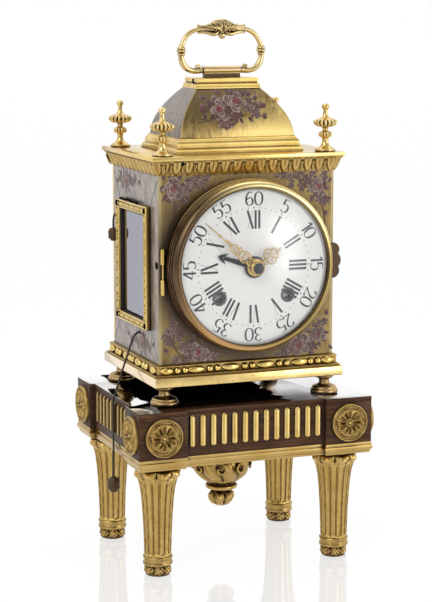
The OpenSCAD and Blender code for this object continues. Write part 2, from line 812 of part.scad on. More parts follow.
// quarter ring of the bail's rod, drawn in x and z from angle a
module bend(x, z, r, a) {
    translate([x, 0, z]) rotate([90, 0, 0]) rotate([0, 0, a])
        rotate_extrude(angle = 90) translate([r, 0]) circle(d = bail_d);
}

module handle_bail() {
    half = handle_tube_l / 2;
    x = bail_w / 2;
    low = 6.2;
    high = 10;
    top = z_handle + bail_h;
    color("goldenrod") {
        for (s = [0, 180]) rotate([0, 0, s]) {
            along_x(half - pivot_l, half + 0.4, pivot_r, z_handle);
            along_x(half + 0.3, x - low, bail_d / 2, z_handle);
            bend(x - low, z_handle + low, low, -90);
            translate([x, 0, z_handle + low]) cylinder(d = bail_d, h = bail_h - low - high);
            translate([x, 0, z_handle + (bail_h + low - high) / 2 + 1])
                rotate_extrude() polygon([[0, -1.4], [1.6, -1.4], [2.4, -0.5], [2.4, 0.5],
                    [1.6, 1.4], [0, 1.4]]);
            bend(x - high, top - high, high, 0);
            along_x(-0.1, x - high, bail_d / 2, top);
        }
        translate([0, 0, top + 0.7]) rotate([0, 90, 0]) rotate_extrude() polygon([[0, -13.5],
            [1.9, -13.5], [1.6, -11], [2.2, -7], [3.2, -3], [3.4, 0], [3.2, 3], [2.2, 7],
            [1.6, 11], [1.9, 13.5], [0, 13.5]]);
        translate([0, 0, top - 4]) sphere(r = 1.9);
    }
}

// ---- round front door ----
module bezel_ring() {
    b = bezel_bore_r;
    r = bezel_r;
    d = bezel_depth;
    seat = b + 1;
    back = y_front - face_gap;
    color("goldenrod") difference() {
        union() {
            facing(centre_pos, back) rotate_extrude($fn = 96) polygon([[b, 0], [r, 0],
                [r, 2.2], [r - 0.8, 2.8], [r - 0.8, 4.6], [r - 1.4, 5.2], [r - 1.4, 7],
                [r - 1, 7.6], [r - 0.6, d - 1.8], [r - 1.2, d - 0.4], [r - 2.2, d],
                [b, d], [b, d - 0.9], [seat, d - 0.9], [seat, d - 1.9], [b, d - 1.9]]);
            knuckle(bezel_hinge, 1, [0, 3], [-0.9, 0.4]);
        }
        translate([bezel_hinge[0], bezel_hinge[1], hinge_z0])
            cylinder(r = hinge_pin_r + run_gap, h = 3 * knuckle_l);
    }
}

// circle of the glass's section through the rim and the crown
function sagitta_r(half, rise) = (half * half + rise * rise) / (2 * rise);

module bezel_glass() {
    foot = bezel_bore_r + 0.95;
    half = bezel_bore_r - 0.2;
    base = bezel_depth + face_gap - 1.9;
    rise = bezel_depth + glass_rise - face_gap - base - 0.8;
    big = sagitta_r(half, rise);
    swing = asin(half / big);
    n = 12;
    outer = [for (i = [0 : n]) let (a = swing * (1 - i / n))
        [big * sin(a), base + 0.8 + rise - big * (1 - cos(a))]];
    inner = [for (i = [n : -1 : 0]) let (a = swing * (1 - i / n))
        [(big - glass_t) * sin(a), base + 0.8 + rise - big + (big - glass_t) * cos(a)]];
    color("lightblue", 0.3) facing(centre_pos, y_front) rotate_extrude($fn = 96)
        polygon(concat([[foot, base], [foot, base + 0.8]], outer, inner,
            [[inner[n][0], base]]));
}

module bezel_thumbpiece() {
    x0 = bezel_r - 0.55;
    color("dimgray") facing([x0, dial_z + 0.9], y_front - 4.2) linear_extrude(2.4)
        intersection() {
            for (z = [-5.2, 0, 5.2]) translate([0.8, z]) circle(r = 4.4 - abs(z) * 0.15);
            translate([0, -9]) square([6, 18]);
        }
}

// ---- dial, hands and the work under the dial ----
module dial() {
    color("white") difference() {
        facing(centre_pos, y_dial + dial_t) rotate_extrude($fn = 96)
            polygon([[0, 0], [ring_r, 0], [ring_r, dial_t - 0.3], [ring_r - 1.5, dial_t],
                [0, dial_t]]);
        for (s = [-1, 1])
            bar(centre_pos + [s * wind_x, -wind_drop], wind_hole_d / 2,
                y_dial - 1, y_dial + dial_t + 1);
        bar(centre_pos, alarm_pipe_r + 0.3, y_dial - 1, y_dial + dial_t + 1);
    }
}

module dial_ring() {
    color("goldenrod") difference() {
        bar(centre_pos, ring_r, y_dial + dial_t, y_plate_f);
        bar(centre_pos, ring_r - ring_wall, y_dial + dial_t - 1, y_plate_f + 1);
    }
}

module pipe(r, bore, y0, y1) {
    difference() {
        bar(centre_pos, r, y0, y1);
        bar(centre_pos, bore, y0 - 1, y1 + 1);
    }
}

// a flat hand pointing along +x from a round collet
module hand_plan(l, w, collet) {
    circle(r = collet);
    polygon([[0, -w * 0.35], [l * 0.3, -w * 0.35], [l * 0.5, -w], [l * 0.72, -w * 0.3],
        [l, 0], [l * 0.72, w * 0.3], [l * 0.5, w], [l * 0.3, w * 0.35], [0, w * 0.35]]);
}

module alarm_hand() {
    color("midnightblue") difference() {
        union() {
            facing(centre_pos, y_alarm_hand) linear_extrude(0.5) rotate(alarm_a)
                hand_plan(alarm_l, 2, 5.2);
            bar(centre_pos, alarm_pipe_r, y_alarm_hand, y_cannon - 3.6);
            bar(centre_pos, 8, y_cannon - 4.4, y_cannon - 3.6);
        }
        bar(centre_pos, hour_pipe_r + pipe_gap, y_alarm_hand - 2, y_cannon);
    }
}

module hour_hand() {
    color("gold") difference() {
        facing(centre_pos, y_hour_hand) linear_extrude(hand_t) rotate(hour_a)
            hand_plan(hour_l, 2.6, 4.6);
        bar(centre_pos, cannon_r + pipe_gap, y_hour_hand - 2, y_hour_hand + 1);
    }
}

module hour_wheel() {
    color("goldenrod") {
        wheel(centre_pos, y_cannon - 3.2, 1.2, hour_teeth, hour_m, 90,
            bore = cannon_r + pipe_gap);
        pipe(hour_pipe_r, cannon_r + pipe_gap, y_hour_hand, y_cannon - 2);
    }
}

module minute_hand() {
    color("gold") difference() {
        union() {
            facing(centre_pos, y_minute_hand) rotate(minute_a) rotate([0, minute_tilt, 0])
                linear_extrude(hand_t) hand_plan(minute_l, 2.3, 2.6);
            facing(centre_pos, y_minute_hand + 0.3) cylinder(r1 = 2.9, r2 = 1.7, h = 2.2);
        }
        bar(centre_pos, centre_r, y_minute_hand - 4, y_minute_hand + 2);
    }
}

module cannon_pinion() {
    color("goldenrod") difference() {
        union() {
            wheel(centre_pos, y_cannon - 1.4, 1.6, cannon_teeth, motion_m, 90, gap = true);
            bar(centre_pos, cannon_r, y_minute_hand + 0.3, y_cannon);
        }
        bar(centre_pos, centre_r + run_gap, y_minute_hand - 1, y_cannon + 1);
    }
}

module minute_wheel() {
    color("goldenrod") difference() {
        union() {
            wheel(minute_pos, y_cannon - 1.2, 1.2, minute_teeth, motion_m, -90);
            wheel(minute_pos, y_cannon - 3.4, 2.3, minute_leaves, hour_m, -90, gap = true);
        }
        bar(minute_pos, 1 + run_gap, y_cannon - 5, y_cannon + 1);
    }
}

// ---- movement ----
train = [third_pos, fourth_pos, escape_pos, pin_pos, fly_pos, hammer_pos];
module movement_plate(y) {
    difference() {
        facing([0, dial_z], y + plate_t) linear_extrude(plate_t)
            translate([-plate_w / 2, -plate_down]) square([plate_w, plate_up + plate_down]);
        for (p = train) bar(p, arbor_d / 2 + run_gap, y - 1, y + plate_t + 1);
        for (p = [going_pos, strike_pos])
            bar(p, wind_arbor_d / 2 + run_gap, y - 1, y + plate_t + 1);
        bar(centre_pos, centre_r + run_gap, y - 1, y + plate_t + 1);
        bar(balance_pos, staff_r + run_gap, y - 1, y + plate_t + 1);
    }
}

module movement_plates() {
    color("goldenrod") {
        movement_plate(y_plate_f);
        movement_plate(y_in_b);
    }
}

module movement_pillars() {
    x = plate_w / 2 - 2.6;
    color("goldenrod") {
        for (s = [-1, 1]) {
            bar([s * x, dial_z + plate_up - 3], 2, y_in_f, y_in_b);
            bar([s * x, dial_z - plate_down + 2.6], 2.2, y_in_f, y_in_b);
            translate([s * 24, (y_plate_f + y_plate_b) / 2, 0])
                block(3, (y_plate_b - y_plate_f) / 2, z_body, dial_z - plate_down);
        }
        bar(minute_pos, 1, y_cannon - 4, y_plate_f);
        stud_bracket();
    }
}

// bracket on the left edge of the rear plate, with the stud of the cord's pulley
module stud_bracket() {
    x1 = -plate_w / 2;
    translate([x1 - 1.6, y_in_b - 4, pulley_z - 8]) cube([1.6, 10, 16]);
    translate([pulley_x - 2.8, pulley_y, pulley_z]) rotate([0, 90, 0])
        cylinder(r = 1.5, h = x1 - pulley_x + 2.4);
}

module spring_coil(r0, r1, turns, w) {
    n = turns * 14;
    path = [for (i = [0 : n]) [r0 + (r1 - r0) * i / n, i * 360 * turns / n]];
    polygon(concat([for (p = path) p[0] * [cos(p[1]), sin(p[1])]],
        [for (i = [n : -1 : 0]) let (p = path[i]) (p[0] + w) * [cos(p[1]), sin(p[1])]]));
}

// open drum with its great wheel, the lid at the other end, and the mainspring inside;
// the wheel lies in front when front is true
module barrel(pos, y_drum, front, a) {
    r = barrel_d / 2;
    bore = wind_arbor_d / 2 + run_gap;
    y_wheel = front ? y_drum - great_t : y_drum + barrel_l;
    y_lid = front ? y_drum + barrel_l - 1 : y_drum;
    y_open = front ? y_drum : y_drum + 1;
    color("goldenrod") {
        difference() {
            union() {
                wheel(pos, y_wheel, great_t, great_teeth, great_m, a);
                bar(pos, r, y_open, y_open + barrel_l - 1);
            }
            bar(pos, r - 1.2, y_open - (front ? 0 : 1), y_open + barrel_l - (front ? 0 : 1));
            bar(pos, bore, y_wheel - 1, y_wheel + great_t + 1);
        }
        difference() {
            bar(pos, r, y_lid, y_lid + 1);
            bar(pos, bore, y_lid - 1, y_lid + 2);
        }
    }
    color("dimgray") facing(pos, y_open + barrel_l - 1.4) linear_extrude(barrel_l - 1.8)
        spring_coil(3.4, r - 2, 4, 0.5);
}

module going_barrel() {
    barrel(going_pos, y_going + great_t, true, bearing(going_pos, centre_pos));
}

module strike_barrel() {
    barrel(strike_pos, y_strike, false, bearing(strike_pos, pin_pos));
}

// winding arbor with its square end and ratchet
module winding_arbor(pos) {
    square_l = 5;
    y0 = y_dial + 2.6;
    color("silver") {
        bar(pos, wind_arbor_d / 2, y0 + square_l, y_plate_b + 0.6);
        facing(pos, y0 + square_l) linear_extrude(square_l)
            square(wind_square, center = true);
        facing(pos, y_plate_f - 0.6) linear_extrude(1.2)
            polygon([for (i = [0 : 23], p = [[6.6, 0], [5.6, 0.1]])
                p[0] * [cos((i + p[1]) * 15), sin((i + p[1]) * 15)]]);
    }
}

module going_arbor() {
    winding_arbor(going_pos);
}

module strike_arbor() {
    winding_arbor(strike_pos);
}

module arbor(pos, y0, y1) {
    bar(pos, arbor_d / 2, y0, y1);
}

module centre_wheel() {
    color("goldenrod") {
        wheel(centre_pos, y_centre_wheel, wheel_t, centre_teeth, centre_m, third_a);
        wheel(centre_pos, y_in_f + 1.2, 3.2, centre_leaves, great_m,
            bearing(centre_pos, going_pos), gap = true);
        bar(centre_pos, centre_r, y_minute_hand - 2.4, y_plate_b);
    }
}

module third_wheel() {
    color("goldenrod") {
        wheel(third_pos, y_third_wheel, wheel_t, third_teeth, third_m, fourth_a);
        wheel(third_pos, y_centre_wheel - 1, 3.2, leaves, centre_m, third_a + 180, gap = true);
        arbor(third_pos, y_plate_f, y_plate_b);
    }
}

module fourth_wheel() {
    color("goldenrod") {
        wheel(fourth_pos, y_fourth_wheel, wheel_t, fourth_teeth, fourth_m, escape_a);
        wheel(fourth_pos, y_third_wheel - 1, 3.2, leaves, third_m, fourth_a + 180, gap = true);
        arbor(fourth_pos, y_plate_f, y_plate_b);
    }
}

module escape_wheel() {
    color("goldenrod") {
        wheel(escape_pos, y_fourth_wheel - 1, 3.2, leaves, fourth_m, escape_a + 180,
            gap = true);
        facing(escape_pos, y_escape_wheel + 1) linear_extrude(1)
            polygon([for (i = [0 : 14], p = [[escape_r, 0], [escape_r - 1.6, 0.25],
                [escape_r - 1.6, 0.9]]) p[0] * [cos((i + p[1]) * 24), sin((i + p[1]) * 24)]]);
        arbor(escape_pos, y_plate_f, y_plate_b);
    }
}

module balance() {
    r = balance_d / 2;
    color("goldenrod") {
        difference() {
            bar(balance_pos, r, y_balance, y_balance + balance_t);
            bar(balance_pos, r - 1.6, y_balance - 1, y_balance + balance_t + 1);
        }
        for (a = [0, 60, 120]) facing(balance_pos, y_balance + balance_t - 0.3)
            linear_extrude(balance_t - 0.6) rotate(a) square([2 * r - 2, 1.2], center = true);
        bar(balance_pos, staff_r, y_plate_f, y_balance + balance_t + 3);
        bar(balance_pos, 2, y_balance - 0.6, y_balance + balance_t + 0.6);
    }
}

module balance_cock() {
    y0 = y_balance + balance_t + 1.6;
    reach = balance_d / 2 + 4.6;
    color("gold") difference() {
        union() {
            facing(balance_pos, y0 + 1.8) linear_extrude(1.8) union() {
                circle(r = 4);
                translate([-2.6, -reach - 3]) square([5.2, reach + 3]);
            }
            translate([balance_pos[0] - 2.6, y_plate_b, balance_pos[1] - reach - 3])
                cube([5.2, y0 - y_plate_b, 6]);
        }
        bar(balance_pos, staff_r + run_gap, y0 - 1, y0 + 3);
    }
}

module pin_wheel() {
    color("goldenrod") {
        wheel(pin_pos, y_pin_wheel, wheel_t, pin_teeth, pin_m, fly_a);
        wheel(pin_pos, y_strike_wheel - 0.8, 3.4, centre_leaves, great_m,
            pin_a + 180, gap = true);
        for (i = [0 : 7]) bar(away(pin_pos, 11, 45 * i), 0.6, y_pin_wheel, y_pin_wheel + 3.8);
        arbor(pin_pos, y_plate_f, y_plate_b);
    }
}

module fly() {
    color("goldenrod") {
        wheel(fly_pos, y_pin_wheel - 1, 3.2, leaves, pin_m, fly_a + 180, gap = true);
        facing(fly_pos, y_in_f + 16) linear_extrude(10) square([13, 0.8], center = true);
        arbor(fly_pos, y_plate_f, y_plate_b);
    }
}

module hammer() {
    l = norm(hammer_tip - hammer_pos);
    color("silver") {
        facing(hammer_pos, y_hammer + hammer_t) linear_extrude(hammer_t) {
            circle(r = 2.4);
            rotate(bearing(hammer_pos, hammer_tip)) translate([0, -0.8]) square([l, 1.6]);
            rotate(bearing(hammer_pos, pin_pos)) translate([0, -0.8]) square([4, 1.6]);
        }
        bar(hammer_tip, hammer_head_r, y_hammer - 1.6, y_hammer + hammer_t + 1.6);
        arbor(hammer_pos, y_plate_f, y_plate_b);
    }
}

module bell() {
    r = bell_d / 2;
    k = bell_h / 12.4;
    color("khaki") translate([0, 0, bell_z]) {
        rotate_extrude() polygon([for (p = [[r, 0], [r, 1.5], [r - 1.4, 5], [r - 3.6, 8.4],
            [r - 7.4, 11.2], [r - 12, 12.4], [1.6, 12.4], [1.6, 11.2], [r - 12.2, 11.2],
            [r - 8, 10.1], [r - 4.7, 7.6], [r - 2.6, 4.6], [r - 1.2, 1.3], [r - 1.2, 0]])
            [p[0], p[1] * k]]);
        translate([0, 0, bell_h]) cylinder(r = 3, h = 1.6);
        translate([0, 0, bell_h - 3.4]) cylinder(r = 1.5, h = z_cap - bell_z - bell_h + 3.4);
        translate([0, 0, 11.2 * k - 1.6]) cylinder(r = 3, h = 1.5);
    }
}

module cord_pulley() {
    color("saddlebrown") translate([pulley_x - 2.2, pulley_y, pulley_z]) rotate([0, 90, 0])
        rotate_extrude() polygon([[1.5 + run_gap, 0], [pulley_r + 1.8, 0],
            [pulley_r, 1.3], [pulley_r, 3.1], [pulley_r + 1.8, 4.4], [1.5 + run_gap, 4.4]]);
}

module pull_cord() {
    color("black") tube(refine(cord_route, cord_step), cord_d / 2, 8);
}

module knob(d, h) {
    r = d / 2;
    rotate_extrude() polygon([[0, -h], [r * 0.7, -h], [r, -h * 0.8], [r, -h * 0.35],
        [r * 0.75, -h * 0.15], [r * 0.45, 0], [0, 0]]);
}

module cord_knobs() {
    color("darkslategray") {
        translate(long_end) knob(long_knob_d, long_knob_h);
        translate(short_end) knob(short_knob_d, short_knob_h);
    }
}

stand_top();
stand_frame();
stand_moulding();
flutes();
rosettes();
leg_capitals();
leg_shafts();
leg_toes();
pendant();
clock_feet();
base_plate();
base_moulding();
case_posts();
front_plate();
side_plaques_left();
side_plaques_right();
window_frames();
window_glasses();
window_screws();
rear_plate();
hinge_knuckles();
rear_door();
cornice();
cornice_slab();
finials();
dome_moulding();
dome_shell();
dome_cap();
handle_tube();
handle_bail();
bezel_ring();
bezel_glass();
bezel_thumbpiece();
dial();
dial_ring();
hour_hand();
hour_wheel();
minute_hand();
cannon_pinion();
alarm_hand();
minute_wheel();
movement_plates();
movement_pillars();
going_barrel();
strike_barrel();
going_arbor();
strike_arbor();
centre_wheel();
third_wheel();
fourth_wheel();
escape_wheel();
balance();
balance_cock();
pin_wheel();
fly();
hammer();
bell();
cord_pulley();
pull_cord();
cord_knobs();
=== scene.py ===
import math
import random
from contextlib import contextmanager

import bmesh
import bpy
import numpy as np
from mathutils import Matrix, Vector


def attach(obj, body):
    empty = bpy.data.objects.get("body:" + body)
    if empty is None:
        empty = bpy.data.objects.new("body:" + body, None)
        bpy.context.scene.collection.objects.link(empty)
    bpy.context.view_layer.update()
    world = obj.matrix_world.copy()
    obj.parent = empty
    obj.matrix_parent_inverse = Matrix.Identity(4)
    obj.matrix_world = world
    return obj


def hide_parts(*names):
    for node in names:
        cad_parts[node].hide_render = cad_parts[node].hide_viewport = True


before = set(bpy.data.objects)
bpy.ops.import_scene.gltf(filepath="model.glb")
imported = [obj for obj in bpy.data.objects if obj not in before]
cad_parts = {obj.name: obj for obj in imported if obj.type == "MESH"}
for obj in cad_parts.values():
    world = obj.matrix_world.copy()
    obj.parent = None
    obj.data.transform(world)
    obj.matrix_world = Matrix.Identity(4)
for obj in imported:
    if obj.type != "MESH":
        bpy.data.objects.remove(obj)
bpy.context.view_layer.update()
mm = 0.001
clockBody = "clock_and_stand"
dialZ = 151.6  # height of the dial's middle
print("frame loaded")


# camera, stage and light
view = {"lens": 117.2, "place": (-0.3573, -0.9182, 0.2858), "back": (-0.3556, -0.9212, 0.1579)}


def newObject(name, data):
    made = bpy.data.objects.new(name, data)
    bpy.context.scene.collection.objects.link(made)
    return made


camera = newObject("camera", bpy.data.cameras.new("camera"))
camera.data.lens = view["lens"]
camera.data.sensor_width = 36
camera.location = view["place"]
camera.rotation_euler = Vector(view["back"]).to_track_quat("Z", "Y").to_euler()
bpy.context.scene.camera = camera
bpy.context.scene.view_settings.view_transform = "Standard"


class Wire:  # a node's output that takes part in plain arithmetic
    def __init__(self, finish, socket):
        self.finish = finish
        self.socket = socket

    def maths(self, operation, first, second=0.0):
        return self.finish.node("ShaderNodeMath", {"operation": operation},
                                {0: first, 1: second})

    def __add__(self, other):
        return self.maths("ADD", self, other)

    def __sub__(self, other):
        return self.maths("SUBTRACT", self, other)

    def __rsub__(self, other):
        return self.maths("SUBTRACT", other, self)

    def __mul__(self, other):
        return self.maths("MULTIPLY", self, other)

    def __truediv__(self, other):
        return self.maths("DIVIDE", self, other)

    def __pow__(self, other):
        return self.maths("POWER", self, other)

    def __abs__(self):
        return self.maths("ABSOLUTE", self)

    __radd__ = __add__
    __rmul__ = __mul__

    def below(self, limit, blur):  # 1 under the limit, 0 above it
        return self.finish.node("ShaderNodeMapRange", {"interpolation_type": "SMOOTHSTEP"},
                                {"Value": self, "From Min": limit - blur,
                                 "From Max": limit + blur, "To Min": 1.0, "To Max": 0.0})

    def spread(self, low, high, toLow=0.0, toHigh=1.0):
        return self.finish.node("ShaderNodeMapRange", {},
                                {"Value": self, "From Min": low, "From Max": high,
                                 "To Min": toLow, "To Max": toHigh})


class Finish:  # one material, or the world, built node by node
    def __init__(self, name, tree=None):
        if tree is None:
            self.material = bpy.data.materials.new(name)
            self.material.use_nodes = True
            tree = self.material.node_tree
        self.tree = tree
        self.tree.nodes.clear()

    def node(self, kind, settings=None, sockets=None, out=0):
        made = self.tree.nodes.new(kind)
        for key, value in (settings or {}).items():
            if key == "stops":
                ramp = made.color_ramp
                while len(ramp.elements) < len(value):
                    ramp.elements.new(0.5)
                for element, (place, colour) in zip(ramp.elements, value):
                    element.position = place
                    element.color = (*colour, 1)
            else:
                setattr(made, key, value)
        for key, value in (sockets or {}).items():
            if isinstance(value, Wire):
                self.tree.links.new(value.socket, made.inputs[key])
            else:
                if isinstance(value, tuple) and len(value) == 3 and \
                        made.inputs[key].type == "RGBA":
                    value = (*value, 1)
                made.inputs[key].default_value = value
        return Wire(self, made.outputs[out]) if made.outputs else None

    def place(self, scale=(1, 1, 1), turn=(0, 0, 0)):  # object coordinates in millimetres
        spot = self.node("ShaderNodeTexCoord", out=3)
        return self.node("ShaderNodeMapping", {},
                         {"Vector": spot, "Rotation": turn,
                          "Scale": tuple(1000 * s for s in scale)})

    def along(self, spot, axis):
        return self.node("ShaderNodeSeparateXYZ", {}, {0: spot}, out=axis)

    def cloud(self, spot, scale, detail=3.0, rough=0.55, warp=0.0):
        return self.node("ShaderNodeTexNoise", {},
                         {"Vector": spot, "Scale": scale, "Detail": detail,
                          "Roughness": rough, "Distortion": warp})

    def blend(self, amount, first, second):
        return self.node("ShaderNodeMix", {"data_type": "RGBA"},
                         {0: amount, 6: first, 7: second}, out=2)

    def ramp(self, amount, stops):
        return self.node("ShaderNodeValToRGB", {"stops": stops}, {0: amount})

    def bump(self, height, depth):
        return self.node("ShaderNodeBump", {}, {"Height": height, "Distance": depth * mm,
                                                "Strength": 1.0})

    def crevice(self, reach):  # ambient occlusion for painted shade: 1 in the open, darker towards 0 in hollows
        return self.node("ShaderNodeAmbientOcclusion", {"samples": 6, "only_local": False},
                         {"Distance": reach * mm}, out=1)

    def principled(self, **sockets):
        return self.node("ShaderNodeBsdfPrincipled", {},
                         {key.replace("_", " "): value for key, value in sockets.items()})

    def mixShader(self, amount, first, second):
        return self.node("ShaderNodeMixShader", {}, {0: amount, 1: first, 2: second})

    def surface(self, **sockets):
        return self.finishWith(self.principled(**sockets))

    def rays(self, *kinds):
        made = self.tree.nodes.new("ShaderNodeLightPath")
        return [Wire(self, made.outputs["Is " + kind + " Ray"]) for kind in kinds]

    def finishWith(self, shader):
        self.node("ShaderNodeOutputMaterial", {}, {"Surface": shader})
        return self.material


# finishes
def metal(name):
    f = Finish(name)
    spot = f.place()
    return f, spot, f.cloud(spot, 1.1, 4.0, 0.6)


def gilt(name, tone, shadeAndPatina, reach=2.2, rough=0.2, grain=0.02, speckle=0.0, wear=0.5,
         meshShade=False):
    f, spot, fine = metal(name)
    broad = f.cloud(spot, 0.09, 2.0)
    # painted shade and patina in hollows, from ambient occlusion, broken up by wear
    unshaded = f.crevice(reach).spread(0.4, 0.97)
    if meshShade:  # the mesh's tone adds painted shade in its grooves and on the sides of bars
        unshaded = unshaded * f.node("ShaderNodeAttribute", {"attribute_name": "tone"}, out=2)
    shadeAndWear = (unshaded + (fine - 0.5) * wear).spread(0.1, 0.9)
    dull = tuple(c * k for c, k in zip(tone, (0.8, 0.72, 0.56)))
    warm = f.blend(broad.spread(0.3, 0.7), tone, dull)
    if speckle:
        warm = f.blend(f.cloud(spot, 2.4, 2.0).below(0.42, 0.06) * speckle, warm, shadeAndPatina)
    middle = tuple(0.42 * a + 0.58 * b for a, b in zip(tone, shadeAndPatina))
    low = f.blend(shadeAndWear.spread(0.0, 0.55), shadeAndPatina, middle)
    colour = f.blend(shadeAndWear.spread(0.4, 1.0), low, warm)
    return f.surface(Base_Color=colour, Metallic=1.0,
                     Roughness=(fine * 0.14 + rough) + (1.0 - shadeAndWear) * 0.25,
                     Normal=f.bump(fine, grain))


# dark brown for painted shade and patina in hollows
shadeAndPatinaTone = (0.075, 0.036, 0.01)
brightGilt = gilt("brightGilt", (0.88, 0.66, 0.24), shadeAndPatinaTone, rough=0.12, wear=0.35)
castGilt = gilt("castGilt", (0.68, 0.48, 0.18), shadeAndPatinaTone, reach=3.6, rough=0.2,
                grain=0.05, speckle=0.4, wear=0.6)
carvedGilt = gilt("carvedGilt", (0.7, 0.49, 0.17), (0.065, 0.03, 0.01), reach=2.6,
                  rough=0.17, grain=0.05, speckle=0.55, wear=0.7, meshShade=True)
chasedGilt = gilt("chasedGilt", (0.62, 0.43, 0.15), (0.055, 0.026, 0.009), reach=3.0,
                  rough=0.22, grain=0.07, speckle=0.5, wear=0.7, meshShade=True)
groundGilt = gilt("groundGilt", (0.58, 0.41, 0.15), (0.04, 0.02, 0.007), reach=3.0,
                  rough=0.28, grain=0.07, speckle=0.5, wear=0.7)
bronzeGilt = gilt("bronzeGilt", (0.6, 0.42, 0.2), (0.05, 0.024, 0.01), reach=5.0,
                  rough=0.16, wear=0.8)
workBrass = gilt("workBrass", (0.74, 0.55, 0.24), (0.2, 0.12, 0.04), rough=0.26)


def bezelFinish():  # copper brown on the wall, partly patina and partly painted shade; bright in front, with painted shade low and at the left and a painted highlight towards the top
    f, spot, fine = metal("bezelGilt")
    x, z = f.along(spot, 0), f.along(spot, 2) - dialZ
    # painted shade in hollows, lifted towards the top
    unshaded = f.crevice(3.0).spread(0.5, 0.97) + (x * 0.3 + z).spread(16.0, 38.0) * 0.6
    reach = (x * x + z * z) ** 0.5
    wall = f.along(spot, 1).spread(-44.6, -43.6)
    # painted shade: copper low at the left and darker to the right, then a painted highlight at
    # the top
    gold = f.blend((x + z).spread(14.0, -50.0), (0.62, 0.45, 0.17), (0.52, 0.31, 0.13))
    gold = f.blend((x - z * 0.4).spread(15.0, 38.0), gold, (0.35, 0.25, 0.085))
    gold = f.blend((x * 0.3 + z).spread(16.0, 36.0) * 0.9, gold, (0.95, 0.78, 0.38))
    # a painted dark reflection at the left
    leeShade = (z * 0.3 - x).spread(12.0, 37.0)
    gold = f.blend(leeShade, gold, (0.13, 0.085, 0.045))
    brown = f.blend(f.cloud(spot, 0.16, 3.0).spread(0.35, 0.65), (0.06, 0.034, 0.02),
                    (0.17, 0.1, 0.05))
    # a painted highlight along the top of the wall
    brown = f.blend((x * 0.3 + z).spread(8.0, 36.0) * 0.95, brown, (0.86, 0.66, 0.29))
    colour = f.blend(wall, gold, brown)
    # painted shade on the inner lip next to the dial
    colour = f.blend(reach.below(39.5, 0.3) * 0.8, colour, (0.06, 0.04, 0.022))
    colour = f.blend(unshaded, (0.03, 0.016, 0.009), colour)
    return f.surface(Base_Color=colour, Metallic=1.0, Roughness=fine * 0.14 + 0.12,
                     Normal=f.bump(fine, 0.015))


def plateFinish():  # gilt; its underside near white, but black towards the left as a painted shadow; its left end pale as a painted reflection
    f, spot, fine = metal("basePlateGilt")
    stain = f.cloud(spot, 0.3, 3.0, 0.7).below(0.36, 0.05)
    below = f.along(spot, 2).below(94.0, 0.06)
    # a ragged edge for the painted shadow on the underside
    shadeAndWear = (f.cloud(spot, 0.12, 3.0) - 0.5) * 22.0 + f.along(spot, 0)
    under = below * shadeAndWear.below(20.0, 1.0)
    colour = f.blend(f.cloud(spot, 0.09, 2.0).spread(0.3, 0.7), (0.9, 0.69, 0.29),
                     (0.74, 0.53, 0.2))
    colour = f.blend(stain * 0.5, colour, (0.3, 0.17, 0.06))
    # the left end painted pale as a painted reflection
    colour = f.blend(f.along(spot, 0).below(-49.5, 0.1), colour, (0.93, 0.77, 0.53))
    colour = f.blend(below, colour, (0.9, 0.9, 0.92))
    colour = f.blend(under, colour, (0.004, 0.003, 0.002))
    return f.surface(Base_Color=colour, Metallic=1.0 - under, Roughness=fine * 0.15 + 0.13,
                     Specular_IOR_Level=0.0, Normal=f.bump(fine, 0.02))


barGilt = gilt("barGilt", (0.78, 0.58, 0.22), (0.05, 0.022, 0.008), reach=2.4, rough=0.15,
               grain=0.01, wear=0.5, meshShade=True)
mouldGilt = gilt("mouldGilt", (0.56, 0.39, 0.145), (0.04, 0.018, 0.007), reach=4.0, rough=0.13,
                 grain=0.015, wear=0.7)
finialGilt = gilt("finialGilt", (0.82, 0.64, 0.3), (0.1, 0.055, 0.02), reach=2.0, rough=0.12,
                  grain=0.02, wear=0.3, meshShade=True)
handleGilt = gilt("handleGilt", (0.7, 0.56, 0.3), (0.1, 0.06, 0.028), reach=2.6, rough=0.14,
                  grain=0.02, wear=0.4, meshShade=True)


def sideways(name, base, dark, axis, limit):  # one finish, dark brown beyond a limit
    f, spot, fine = metal(name)
    # painted shade in hollows
    unshaded = f.crevice(2.4).spread(0.45, 0.97)
    past = f.along(spot, axis).below(limit, 0.12)
    colour = f.blend(past, base, dark)
    colour = f.blend(unshaded, tuple(c * 0.1 for c in base), colour)
    return f.surface(Base_Color=colour, Metallic=1.0, Roughness=fine * 0.14 + 0.17,
                     Normal=f.bump(fine, 0.03))


tubeGilt = sideways("tubeGilt", (0.72, 0.53, 0.28), (0.1, 0.06, 0.03), 2, 243.6)
# the frames are dark brown in front of y -23: painted shade on their front ends
frameGilt = sideways("frameGilt", (0.68, 0.5, 0.2), (0.24, 0.16, 0.05), 1, -23.0)
bezelGilt = bezelFinish()
plateGilt = plateFinish()


